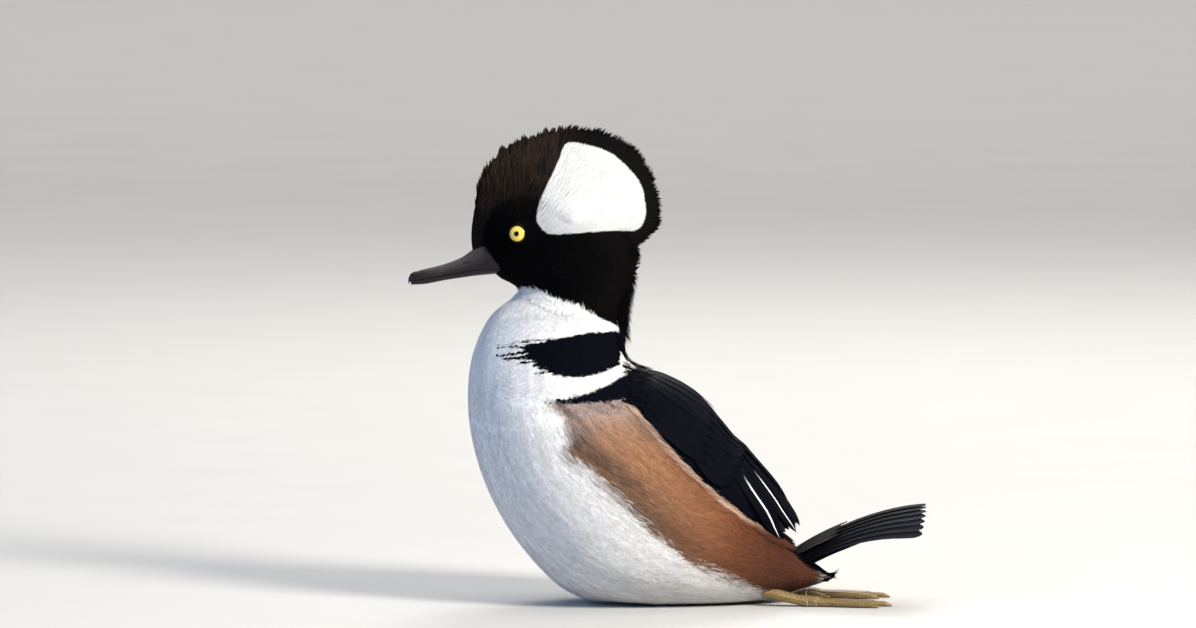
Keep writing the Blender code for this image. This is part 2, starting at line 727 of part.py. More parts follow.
def tube(name, places, radii, home, shader=None, sides=8):
    """A tapered round limb through places in millimetres."""
    rings = []
    places = [np.array(p, float) for p in places]
    for i, place in enumerate(places):
        before = places[max(i - 1, 0)]
        after = places[min(i + 1, len(places) - 1)]
        along = (after - before) / np.linalg.norm(after - before)
        across = np.cross(along, (0.0, 0.0, 1.0))
        across = across / np.linalg.norm(across)
        up = np.cross(across, along)
        ring = []
        for j in range(sides):
            a = 2 * math.pi * j / sides
            ring.append(place + (across * math.cos(a) + up * math.sin(a)) * radii[i])
        rings.append(ring)
    return loft(name, on_floor(rings), home, shader)


def make_leg(name, side, home, body_shape):
    """The shank, which leaves the belly feathers low at the back and lies along the floor."""
    places = [(x, side * LEG_SPREAD * share, z) for x, share, z, _ in SHANK]
    radii = [radius for _, _, _, radius in SHANK]
    leg = tube("leg_" + name, places, radii, home, material("foot", 0.5))
    cut_away(leg, body_shape)
    return leg


def make_foot(name, side, home):
    """The webbed foot, folded back behind the shank: three long toes, their web and a short hind toe."""
    x0, y0 = ANKLE + GAP / MM, side * LEG_SPREAD
    ends = []
    for length, spread in TOES:
        a = math.radians(spread)
        ends.append((x0 + length * math.cos(a), y0 + side * length * math.sin(a)))
    heel = [(x0, y0, 2.8), (x0 + 4, y0, 2.6), (x0 + 8, y0, 2.2)]
    foot = tube("foot_" + name, heel, [2.9, 2.9, 2.2], home, material("foot", 0.5))
    pieces = collection_named("toes_" + name)
    for i, (x, y) in enumerate(ends):
        middle = (x0 + 0.5 * (x - x0), y0 + 0.5 * (y - y0), 2.1)
        beyond = CLAW_LENGTH / TOES[i][0]
        claw = (x + beyond * (x - x0), y + beyond * (y - y0), 0.55)
        places = [(x0 + 3, y0, 2.3), middle, (x, y, 1.5), claw]
        tube(f"toe_{i}", places, [2.1, 1.8, 1.3, 0.4], pieces, sides=7)
    places = [(x0 + x, y0 - side * y, z) for x, y, z, _ in HIND_TOE]
    tube("hind_toe", places, [radius for _, _, _, radius in HIND_TOE], pieces, sides=6)
    web_rings = []
    for share, thick in WEB_SECTIONS:
        row = []
        for i in (0, 0.5, 1, 1.5, 2):
            low, high = ends[math.floor(i)], ends[math.ceil(i)]
            mid = (np.array(low) + np.array(high)) / 2
            # The web's edge is scooped between the toes
            reach = share * (WEB_SCOOP if i != int(i) and share > 0.9 else 1.0)
            row.append((x0 + (mid[0] - x0) * reach, y0 + (mid[1] - y0) * reach))
        top = [(x, y, WEB_RISE + thick) for x, y in row]
        web_rings.append(top + [(x, y, WEB_RISE) for x, y in row[::-1]])
    loft("web", web_rings, pieces, flat=True)
    join_all(foot, pieces)
    return foot


def stand_on_origin(home):
    """Moves the whole bird so that the origin is under the middle of its box, at its lowest level."""
    bpy.context.view_layer.update()
    corners = [thing.matrix_world @ Vector(c) for thing in home.objects for c in thing.bound_box]
    low = [min(c[k] for c in corners) for k in range(3)]
    high = [max(c[k] for c in corners) for k in range(3)]
    shift = Vector(((low[0] + high[0]) / 2, (low[1] + high[1]) / 2, low[2]))
    for thing in home.objects:
        thing.location -= shift


def main():
    clear_scene()
    home = collection_named("hooded_merganser")
    cutters = collection_named("cutters")
    body_shape = guide(loft("body_clearance", body_rings(GAP / MM), cutters))
    parts = make_body(home)
    make_crest(home, body_shape)
    make_bill(home, body_shape, cutters)
    make_eyes(parts["head"], home, cutters)
    for name, side in (("left", -1), ("right", 1)):
        make_wing("wing_" + name, side, home, body_shape)
        make_leg(name, side, home, body_shape)
        make_foot(name, side, home)
    make_tail(home, body_shape)
    for thing in home.objects:
        thing.data.shade_smooth()
        thing.data.set_sharp_from_angle(angle=math.radians(40))
    stand_on_origin(home)


main()
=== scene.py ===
# %% [markdown]
# # A drake hooded merganser with its crest raised
#
# The bird sits on its belly with its neck drawn up and its crest spread, life size. The solids give its
# outline. Here it gets its skin, its feathers, its bill, its eyes and its feet.
#
# A bird's looks are its feathers, and they could be drawn on the skin as a picture. They are made as
# thousands of small closed meshes instead, because then they break the outline and catch the light as real
# ones do, from every side.

# %% Load the frame
import math

import bpy
import numpy as np
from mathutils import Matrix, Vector
from mathutils.bvhtree import BVHTree


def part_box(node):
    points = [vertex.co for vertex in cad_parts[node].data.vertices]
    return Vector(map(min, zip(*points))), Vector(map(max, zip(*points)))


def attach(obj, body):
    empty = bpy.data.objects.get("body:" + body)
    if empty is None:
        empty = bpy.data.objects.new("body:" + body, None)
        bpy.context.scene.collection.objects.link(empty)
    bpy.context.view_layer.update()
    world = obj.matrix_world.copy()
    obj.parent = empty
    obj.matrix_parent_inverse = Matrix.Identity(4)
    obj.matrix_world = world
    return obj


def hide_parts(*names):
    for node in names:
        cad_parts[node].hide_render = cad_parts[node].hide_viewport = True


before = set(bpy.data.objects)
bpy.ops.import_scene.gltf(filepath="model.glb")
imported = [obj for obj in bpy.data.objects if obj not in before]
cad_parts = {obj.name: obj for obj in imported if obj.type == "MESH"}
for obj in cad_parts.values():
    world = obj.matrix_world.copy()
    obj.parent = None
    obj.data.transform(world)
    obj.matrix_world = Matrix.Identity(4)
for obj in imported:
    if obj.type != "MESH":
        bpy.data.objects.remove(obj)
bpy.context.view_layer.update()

print("solids:", sorted(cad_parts))

# %% [markdown]
# ## Millimetres on the bird's own drawing
#
# The places below were measured on the side view of the bird, in millimetres: x runs from the bill to the
# tail, z up from the floor and y across, with the bird's left side at negative y. The drawing's zero lies
# under the throat. The frame's zero lies under the middle of the whole bird, so one shift along x, found
# from the tip of the bill, joins the two.

# %% The drawing's scale and place
MM = 0.001
BILL_TIP_X = -130.6
OFFSET = np.array([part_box("bill_upper")[0].x / MM - BILL_TIP_X, 0.0, 0.0])


def to_drawing(point):
    """A point of the frame, in metres, in the drawing's millimetres."""
    return np.array(point) / MM - OFFSET


def to_frame(place):
    """A place of the drawing in the frame's metres."""
    return Vector((np.array(place) + OFFSET) * MM)


print("the drawing is moved along x by", round(float(OFFSET[0]), 2), "mm")

# %% [markdown]
# ## The stage
#
# The bird is seen square to its left side, from a little above, through a long lens, which keeps its
# proportions. A short lens close by would swell the breast. The frame is as wide as the drawing's scale
# says. The floor is plain and pale.

# %% Camera and floor
VIEW_WIDTH = 605.2
VIEW_CENTRE = np.array([-34.7, 0.0, 146.7])
VIEW_ELEVATION = math.radians(5)
LENS, SENSOR = 400, 36


def aim(thing, place, target):
    """Turns a camera or lamp at one place, in millimetres, towards another."""
    place, target = to_frame(place), to_frame(target)
    thing.location = place
    thing.rotation_euler = (target - place).to_track_quat("-Z", "Y").to_euler()


def placed(name, data):
    """A new object in the scene that shows this data."""
    made = bpy.data.objects.new(name, data)
    bpy.context.scene.collection.objects.link(made)
    return made


camera = placed("camera", bpy.data.cameras.new("camera"))
bpy.context.scene.camera = camera
camera.data.lens = LENS
camera.data.sensor_width = SENSOR
camera.data.clip_end = 100
distance = VIEW_WIDTH * LENS / SENSOR
back_off = np.array([0.0, -math.cos(VIEW_ELEVATION), math.sin(VIEW_ELEVATION)]) * distance
aim(camera, VIEW_CENTRE + back_off, VIEW_CENTRE)

FLOOR_RADIUS, FLOOR_RINGS, FLOOR_SIDES = 30.0, 12, 96


def floor_disc():
    """A round floor, wide enough that no view of the bird looks past its edge from above."""
    turn = 2 * math.pi * np.arange(FLOOR_SIDES) / FLOOR_SIDES
    radii = FLOOR_RADIUS * (np.arange(1, FLOOR_RINGS + 1) / FLOOR_RINGS) ** 2
    points = [(0.0, 0.0, 0.0)] + [(r * math.cos(a), r * math.sin(a), 0.0) for r in radii for a in turn]

    def corner(ring, side):
        return 1 + ring * FLOOR_SIDES + side % FLOOR_SIDES

    faces = [(0, corner(0, j), corner(0, j + 1)) for j in range(FLOOR_SIDES)]
    faces += [(corner(i, j), corner(i + 1, j), corner(i + 1, j + 1), corner(i, j + 1))
              for i in range(FLOOR_RINGS - 1) for j in range(FLOOR_SIDES)]
    mesh = bpy.data.meshes.new("floor")
    mesh.from_pydata(points, [], faces)
    made = placed("floor", mesh)
    return made


floor = floor_disc()
print("camera", round(distance / 1000, 2), "m away")

# %% [markdown]
# ## Light
#
# The light comes from the right and a little above, so the flank and the crest are lit and the breast turns
# into a cool shade at the left. One broad warm lamp gives that, and a weak cool one opens the shade. A low
# lamp behind draws the outline of the black feathers, which would otherwise be one flat patch. Two wide
# lamps high up wash the floor behind the bird, which would otherwise turn grey towards the top of the view.

# %% Lamps
# Name, place and size in millimetres, power in watts, colour, and how far behind the bird it points
LAMPS = [
    ("key", (1150, -1150, 1000), 600, 66.0, (1.0, 0.95, 0.88), 0),
    ("fill", (-1500, -800, 500), 1400, 16.0, (0.29, 0.53, 1.0), 0),
    ("edge", (300, 1500, 1300), 900, 20.0, (1.0, 0.98, 0.95), 0),
    ("wash", (0, 1500, 3600), 4500, 85.0, (1.0, 0.99, 0.97), 2500),
    ("far_wash", (0, 5200, 3600), 4500, 120.0, (1.0, 0.99, 0.97), 6500),
]
SKY, SKY_STRENGTH = (0.80, 0.86, 0.95, 1), 0.20
for name, place, size, power, colour, behind in LAMPS:
    lamp = placed(name, bpy.data.lights.new(name, "AREA"))
    lamp.data.shape = "DISK"
    lamp.data.size = size * MM
    lamp.data.energy = power
    lamp.data.color = colour
    lamp.visible_camera = False
    aim(lamp, place, VIEW_CENTRE + np.array([0, behind, 0]))
world = bpy.data.worlds.new("studio")
bpy.context.scene.world = world
world.use_nodes = True
world.node_tree.nodes["Background"].inputs["Color"].default_value = SKY
world.node_tree.nodes["Background"].inputs["Strength"].default_value = SKY_STRENGTH
# Black feathers stay black under the standard view, where the default one would lift them to grey
bpy.context.scene.view_settings.view_transform = "Standard"
print(len(LAMPS), "lamps")

# %% [markdown]
# ## Materials are node trees
#
# Every finish is a small tree of nodes. A helper adds a node, sets its values and joins its inputs, so that
# a material reads as a list of what it mixes. A value that is the same all over goes straight on the
# shader's socket.

# %% A helper for nodes


class Finish:
    """A material with its shader, and short ways to add and join nodes."""

    def __init__(self, name, **values):
        self.material = bpy.data.materials.new(name)
        self.material.use_nodes = True
        self.tree = self.material.node_tree
        self.shader = self.tree.nodes["Principled BSDF"]
        for socket, value in values.items():
            self.shader.inputs[socket.replace("_", " ")].default_value = value

    def node(self, kind, settings=None, **inputs):
        """A node of a kind, with its settings, and its inputs joined to outputs or set to values."""
        made = self.tree.nodes.new("ShaderNode" + kind)
        for key, value in (settings or {}).items():
            setattr(made, key, value)
        for key, value in inputs.items():
            name = key.replace("_", " ")
            socket = made.inputs[int(name[1:])] if name[0] == "i" and name[1:].isdigit() else made.inputs[name]
            if isinstance(value, bpy.types.NodeSocket):
                self.tree.links.new(value, socket)
            else:
                socket.default_value = value
        return made

    def here(self):
        """The place on the object, along its own axes and in metres."""
        return self.node("TexCoord").outputs["Object"]

    def stored(self, name):
        """The outputs of a value that the mesh's points carry."""
        return self.node("Attribute", {"attribute_name": name}).outputs

    def grey(self, value):
        """A number as a grey."""
        return self.node("CombineColor", Red=value, Green=value, Blue=value).outputs[0]

    def math(self, operation, a, b=0.0):
        """One sum on one or two numbers."""
        return self.node("Math", {"operation": operation}, i0=a, i1=b).outputs[0]

    def tint(self, how, share, a, b):
        """Two colours mixed, multiplied or added by a share."""
        mixed = self.node("Mix", {"data_type": "RGBA", "blend_type": how}, i0=share, i6=a, i7=b)
        return mixed.outputs[2]

    def noise(self, scale, detail=2.0, distortion=0.0, where=None):
        """Noise in the object's own space, with its scale in cells to a metre."""
        where = where or self.here()
        made = self.node("TexNoise", Vector=where, Scale=scale, Detail=detail, Distortion=distortion)
        return made.outputs["Fac"]

    def span(self, value, low, high, new_low, new_high):
        """A number moved from one span to another and held inside it."""
        made = self.node("MapRange", Value=value)
        for name, edge in zip(("From Min", "From Max", "To Min", "To Max"), (low, high, new_low, new_high)):
            made.inputs[name].default_value = edge
        return made.outputs[0]

    def colour(self, output):
        """Paints the surface with an output."""
        self.tree.links.new(output, self.shader.inputs["Base Color"])

    def bump(self, height, distance, strength=1.0):
        """Lets a height push the surface's shading in and out, by a distance in millimetres."""
        made = self.node("Bump", Height=height, Distance=distance * MM, Strength=strength)
        self.tree.links.new(made.outputs[0], self.shader.inputs["Normal"])


FLOOR_DARK, FLOOR_PALE = (0.50, 0.49, 0.47, 1), (0.54, 0.53, 0.51, 1)
floor_paint = Finish("floor_paint", Roughness=0.85)
floor_paint.colour(floor_paint.tint("MIX", floor_paint.noise(14, 4), FLOOR_DARK, FLOOR_PALE))
floor.data.materials.append(floor_paint.material)
print("floor painted with", len(floor_paint.tree.nodes), "nodes")

# %% [markdown]
# ## The skin
#
# Under the feathers lies one skin, from the vent to the crown. The solids part it into torso, neck and head,
# which would show as seams. So a net of points is drawn round the solids: cuts are set along a line through
# the body, and in each cut rays run in from outside until they meet a solid. The net is then smoothed. The
# folded wings swell the back, and their solids are too rough to be copied, so the net is pushed out there by
# heights named row by row. Last it is sunk by the depth of the coat.

# %% The line through the body
# Each cut's middle (x, z) and how far its back end leans, in degrees
CUTS = np.array([
    (83.8, 13.7, 97.0), (70.0, 16.5, 97.0), (55.3, 21.8, 91.0), (22.8, 34.5, 71.0), (3.5, 41.8, 64.0),
    (-32.0, 66.0, 50.5), (-54.3, 93.5, 32.7), (-60.8, 122.0, 11.8), (-55.0, 144.8, -2.0),
    (-46.5, 157.5, -2.0), (-52.3, 169.7, 3.0), (-57.0, 188.8, 0.5), (-61.0, 209.0, 0.0),
])
ROWS, COLUMNS = 260, 160
# How far outside the rays start
RAY_START = 88.0
# Past the end of the solids, each cut has this share of the reach of the one before
CLOSING = 0.8
SKIN_BLUR = 3
COAT_DEPTH = 1.3


def curve_at(values, at):
    """Rows of values read between stations, on a smooth curve through all of them."""
    values = np.asarray(values, float)
    last = len(values) - 1
    at = np.clip(at, 0, last)
    i = np.minimum(at.astype(int), last - 1)
    t = (at - i)[:, None]
    before = np.where((i > 0)[:, None], values[np.maximum(i - 1, 0)], 2 * values[i] - values[i + 1])
    after = np.where((i + 2 <= last)[:, None], values[np.minimum(i + 2, last)], 2 * values[i + 1] - values[i])
    p1, p2 = values[i], values[i + 1]
    bend = 2 * before - 5 * p1 + 4 * p2 - after
    return p1 + 0.5 * t * (p2 - before + t * (bend + t * (3 * (p1 - p2) + after - before)))


def tree_of(*names):
    """The shown surface of some solids, ready for rays."""
    points, faces = [], []
    for name in names:
        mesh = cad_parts[name].data
        faces += [[len(points) + i for i in polygon.vertices] for polygon in mesh.polygons]
        points += [vertex.co[:] for vertex in mesh.vertices]
    return BVHTree.FromPolygons([to_drawing(p) for p in points], faces)


def blurred(values, times):
    """Evens out a net of values along both ways; columns run round."""
    for _ in range(times):
        values = (np.roll(values, 1, 1) + 2 * values + np.roll(values, -1, 1)) / 4
        middle = (values[:-2] + 2 * values[1:-1] + values[2:]) / 4
        values = np.concatenate([values[:1], middle, values[-1:]])
    return values


flesh = tree_of("torso", "neck", "head", "eye_left", "eye_right")
stations = curve_at(CUTS, np.linspace(0, len(CUTS) - 1, ROWS))
middles = np.stack([stations[:, 0], np.zeros(ROWS), stations[:, 1]], 1)
lean = np.radians(stations[:, 2])
backs = np.stack([np.cos(lean), np.zeros(ROWS), np.sin(lean)], 1)
turns = np.radians(-180 + 360 * np.arange(COLUMNS) / COLUMNS)
right = np.array([0.0, 1.0, 0.0])
rays = backs[:, None] * np.cos(turns)[None, :, None] + right * np.sin(turns)[None, :, None]
reach = np.zeros((ROWS, COLUMNS))
for row in range(ROWS):
    for column in range(COLUMNS):
        out = rays[row, column]
        hit = flesh.ray_cast(middles[row] + out * RAY_START, -out, RAY_START)
        if hit[0] is not None:
            reach[row, column] = RAY_START - hit[3]
        elif row:
            reach[row, column] = reach[row - 1, column] * CLOSING
bare = middles[:, None] + rays * blurred(reach, SKIN_BLUR)[..., None]
print("skin net:", ROWS, "x", COLUMNS, "reach", reach.min().round(1), "to", reach.max().round(1), "mm")

# %% [markdown]
# The net also answers questions: where is a point of the skin, which way does it face, and how far does one
# step along a row or a column go. Everything that grows on the skin is set with these answers. Fields are
# read between the net's points, and columns run round the body.

# %% Reading the skin


def unit(vectors):
    """Vectors at a length of one."""
    return vectors / np.maximum(np.linalg.norm(vectors, axis=-1, keepdims=True), 1e-9)


def slopes(net):
    """How the net moves with one step along a row and one along a column, and its outward normal."""
    along = np.gradient(net, axis=0)
    around = (np.roll(net, -1, 1) - np.roll(net, 1, 1)) / 2
    return along, around, unit(np.cross(around, along))


def read(field, rows, columns):
    """A field of the net at places between its points."""
    rows = np.clip(rows, 0, ROWS - 1.001)
    i = rows.astype(int)
    j = np.floor(columns).astype(int)
    a, b = (rows - i)[:, None], (columns - j)[:, None]
    j0, j1 = j % COLUMNS, (j + 1) % COLUMNS
    return ((field[i, j0] * (1 - b) + field[i, j1] * b) * (1 - a)
            + (field[i + 1, j0] * (1 - b) + field[i + 1, j1] * b) * a)


# How far the folded wings rise over the bare body at rows of the net, for the skin under the feathers and
# for the wing's own face, which runs on past the rump
SKIN_RISE = [(44, 0.0), (52, 1.6), (60, 5.6), (70, 5.9), (80, 4.6), (90, 4.4), (100, 2.9), (112, 1.2), (125, 0.3),
             (138, 0.0)]
WING_RISE = [(30, 8.6), (35, 9.3), (40, 10.0), (50, 10.2), (60, 8.4), (70, 7.2), (80, 5.8), (90, 5.5), (100, 4.0),
             (112, 2.2), (125, 1.0), (138, 0.0)]


# Degrees from the back's middle: the wing's ridge, the span over which it falls, its edge and the edge's fade
WING_RIDGE, WING_FALL, WING_EDGE, EDGE_FADE = 5, 52, 60, 14
# The shares of the height lost at the edge and in the hollow between the wings
EDGE_LOSS, HOLLOW = 0.7, 0.2


def wing_swell(rise):
    """The height of the folded wings all over the net; it fades from the back's middle to the flank."""
    from_back = np.abs(np.degrees(turns))
    across = np.clip((from_back - WING_RIDGE) / WING_FALL, 0, 1)
    fade = np.clip((WING_EDGE - from_back) / EDGE_FADE, 0, 1)
    ridge = 1 - HOLLOW + HOLLOW * np.clip(from_back / WING_RIDGE, 0, 1)
    share = (1 - EDGE_LOSS * across**2) * fade * fade * (3 - 2 * fade) * ridge
    return np.interp(np.arange(ROWS), *np.array(rise).T)[:, None] * share[None]


def face_of(net):
    """A net with its slopes, ready to be read."""
    along, around, normal = slopes(net)
    return dict(place=net, along=along, around=around, normal=normal)


bare_facing = slopes(bare)[2]
WING = face_of(bare + bare_facing * wing_swell(WING_RISE)[..., None])
outer = bare + bare_facing * wing_swell(SKIN_RISE)[..., None]
facing = slopes(outer)[2]
skin_net = outer - facing * COAT_DEPTH
SKIN = face_of(skin_net)
print("skin spans", skin_net.reshape(-1, 3).min(0).round(1), skin_net.reshape(-1, 3).max(0).round(1))

# %% [markdown]
# ## Meshes from arrays
#
# Blender can build a mesh point by point in Python, but half a million points would take minutes. Whole
# arrays are handed over at once instead. Each mesh also carries its markings as a colour for each point,
# and a small map named OFBake that says where on the skin each feather grows.

# %% A mesh from arrays
# No feather reaches lower than this over the floor
FLOOR_GAP = 0.02
MAP_MARGIN = 0.02


def on_map(u, v):
    """Places on the map, clear of its edges, from two rows of numbers between 0 and 1."""
    return MAP_MARGIN + (1 - 2 * MAP_MARGIN) * np.stack([u, v], 1)


def build(name, points, faces, colours, uvs, vane=None, crisp=0):
    """An object from points in the drawing's millimetres and faces that all have as many corners."""
    points = np.concatenate([points[:, :2], np.maximum(points[:, 2:], FLOOR_GAP)], 1)
    count, corners = faces.shape
    mesh = bpy.data.meshes.new(name)
    mesh.vertices.add(len(points))
    mesh.vertices.foreach_set("co", ((points + OFFSET) * MM).astype(np.float32).ravel())
    mesh.loops.add(count * corners)
    mesh.loops.foreach_set("vertex_index", faces.astype(np.int32).ravel())
    mesh.polygons.add(count)
    mesh.polygons.foreach_set("loop_start", np.arange(0, count * corners, corners, dtype=np.int32))
    mesh.update(calc_edges=True)
    stored = mesh.attributes.new("marking", "FLOAT_COLOR", "POINT")
    stored.data.foreach_set("color", colours.astype(np.float32).ravel())
    if vane is not None:
        stored = mesh.attributes.new("vane", "FLOAT_VECTOR", "POINT")
        stored.data.foreach_set("vector", vane.astype(np.float32).ravel())
    layer = mesh.uv_layers.new(name="OFBake")
    layer.data.foreach_set("uv", uvs[faces.ravel()].astype(np.float32).ravel())
    mesh.shade_smooth()
    if crisp:
        mesh.set_sharp_from_angle(angle=math.radians(crisp))
    return placed(name, mesh)


def finished(piece, finish, slot, *nodes):
    """Gives a piece its material and its body, and hides the solids it stands for; slot is not used."""
    piece.data.materials.append(finish.material)
    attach(piece, "root")
    if nodes:
        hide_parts(*nodes)
    return piece


# %% [markdown]
# ## Markings
#
# The drake is black, white and chestnut, in fields with clear borders. They could be painted by hand. Here
# each field is a closed outline on the side view, and any point of the bird asks how deep it lies inside
# each outline. Skin and feathers ask the same function, so they carry the same markings, and a feather asks
# once for its visible part, so that borders run feather by feather as on the real bird.

# %% Outlines of the fields
NECK = [(-140, 152), (-92, 152), (-84, 155), (-77, 158.8), (-72.1, 159.9), (-66.5, 159.4), (-57.4, 155.1),
        (-43.3, 150.3), (-33.6, 144.7), (-23, 139.7), (-14, 136), (20, 136), (20, 260), (-140, 260)]
SPUR = [(-15, 138.6), (-22.5, 138.1), (-38.7, 137.4), (-49.3, 135.1), (-58.4, 134.1), (-67.6, 133.1), (-84.8, 129.5),
        (-78.7, 124.7), (-69.6, 119.4), (-60, 116.5), (-49.3, 114.9), (-42.3, 114.9), (-33.1, 116.9),
        (-18, 123.2), (-12, 125.5)]
LOWER_SPUR = [(-13, 121), (-20.5, 115.9), (-28.6, 111.3), (-37.7, 107.2), (-47.8, 104.2), (-58.5, 103.6),
              (-58.5, 101.6), (-51.4, 100.8), (-42.3, 101.4), (-30.6, 102.1), (-17.5, 104.6), (-10, 100)]
BACK = [(-24, 141), (-19.7, 123.4), (-14, 119.5), (-16.5, 110), (-17, 101.2), (-6.3, 88.6), (-0.5, 82),
        (6.8, 74.1), (14.9, 65.8), (31.1, 51.6), (42.3, 42.5), (53.4, 35.4), (64.3, 30.9), (80, 29),
        (140, 60), (20, 160)]
FLANK = [(-63, 102.5), (-52, 88), (-50.5, 82), (-55, 77), (-50, 71), (-41, 66.5), (-34, 60), (-28.5, 55),
         (-23, 50), (-14, 40), (-7, 33), (9, 20), (44, 4), (70, -2),
         (100, 4), (74, 41), (41, 62), (17, 84), (-7, 112)]
CREST_WHITE = [(-47.8, 233.8), (-33.6, 230.7), (-24.5, 225.7), (-13.9, 214), (-10.9, 203.4), (-10.9, 195.4),
               (-14.9, 189.4), (-26.6, 189.0), (-43.3, 187.9), (-57.4, 187.0), (-62.5, 189.2),
               (-65.5, 193.8), (-65.5, 197.8), (-63.5, 205.4), (-59.5, 214), (-54.9, 223.7), (-51.9, 231.7)]


def rounded(outline, steps=4):
    """An outline drawn again as a smooth curve through its corners."""
    around = np.array(outline[-2:] + outline + outline[:3])
    return [tuple(point) for point in curve_at(around, 2 + np.arange(len(outline) * steps) / steps)]


CREST_WHITE = rounded(CREST_WHITE)


def depth_in(outline, x, z):
    """How deep points lie inside a closed outline of the side view, in millimetres; outside is negative."""
    inside = np.zeros(len(x), bool)
    nearest = np.full(len(x), 1e9)
    for (x0, z0), (x1, z1) in zip(outline, outline[1:] + outline[:1]):
        if z0 != z1:
            inside ^= ((z0 > z) != (z1 > z)) & (x < (x1 - x0) * (z - z0) / (z1 - z0) + x0)
        share = ((x - x0) * (x1 - x0) + (z - z0) * (z1 - z0)) / ((x1 - x0) ** 2 + (z1 - z0) ** 2)
        share = np.clip(share, 0, 1)
        nearest = np.minimum(nearest, np.hypot(x - x0 - share * (x1 - x0), z - z0 - share * (z1 - z0)))
    return np.where(inside, nearest, -nearest)


def step(value, low, high):
    """0 below low, 1 above high and smooth between."""
    t = np.clip((value - low) / (high - low), 0, 1)
    return t * t * (3 - 2 * t)


def strand(across, width, seed):
    """A number from 0 to 1 for each strand of a given width, the same all along the strand."""
    wave = np.sin(np.floor(across / width) * 12.9898 + seed * 78.233) * 43758.5453
    return wave - np.floor(wave)


def seen_height(y, z):
    """The height on the drawing, which was made from a little above, so that the near side lies lower."""
    return z - np.abs(y) * math.tan(VIEW_ELEVATION)


def all_over(colour, count):
    """A colour for each of a number of points."""
    return np.tile(np.array(colour), (count, 1))


print("corners of the crest's white, rounded:", len(CREST_WHITE))

# %% [markdown]
# The flank is no flat colour. In front, dusky strands run in among the white ones. Behind them it is tan
# at the top and cinnamon below, turns rufous towards the tail and dark brown at the rump, and along its top a
# painted highlight draws a pale line beside the wing. It could be a blend of a few colours, but blends look
# airbrushed.
# Here each strand of a given width has a random number of its own, and so has each feather, and these shift
# the borders. The fourth number of the colour says how strongly the material draws fine dark bars.

# %% Colours of a point
WHITE = (0.750, 0.744, 0.730)
CREST_WHITE_TONE = (0.53, 0.533, 0.531)
SHADE_WHITE = (0.58, 0.60, 0.64)
HEAD_BLACK = (0.0012, 0.0010, 0.0011)
CREST_BROWN = (0.022, 0.0125, 0.0085)
BLUE_BLACK = (0.0015, 0.0020, 0.0048)
FLANK_GREY = (0.300, 0.235, 0.215)
FLANK_DUSK = (0.166, 0.092, 0.054)
FLANK_DARK = (0.085, 0.058, 0.046)
CINNAMON = (0.345, 0.172, 0.092)
TAN = (0.340, 0.205, 0.140)
RUFOUS = (0.175, 0.060, 0.026)
RUMP_BROWN = (0.072, 0.024, 0.013)
# A highlight painted along the flank's top edge, beside the wing
FLANK_EDGE_HIGHLIGHT = (0.47, 0.32, 0.245)
# The rump is dark above this line of x and z
RUMP_EDGE = np.array([(40, 50), (55, 34), (66, 22), (75, 16), (85, 11)])
# The black down the middle of nape and back: its half width, and where it starts, in x and from below
MIDDLE_HALF, MIDDLE_FRONT, MIDDLE_LOW, MIDDLE_HIGH = 14, -60, 92, 141
# How far the white of head and crest is told to the shader, in millimetres in and out of its outline
WHITE_DEPTH = 8
# The shares by which feathers differ in brightness
SHADE_CHANGE, WHITE_CHANGE = 0.07, 0.02


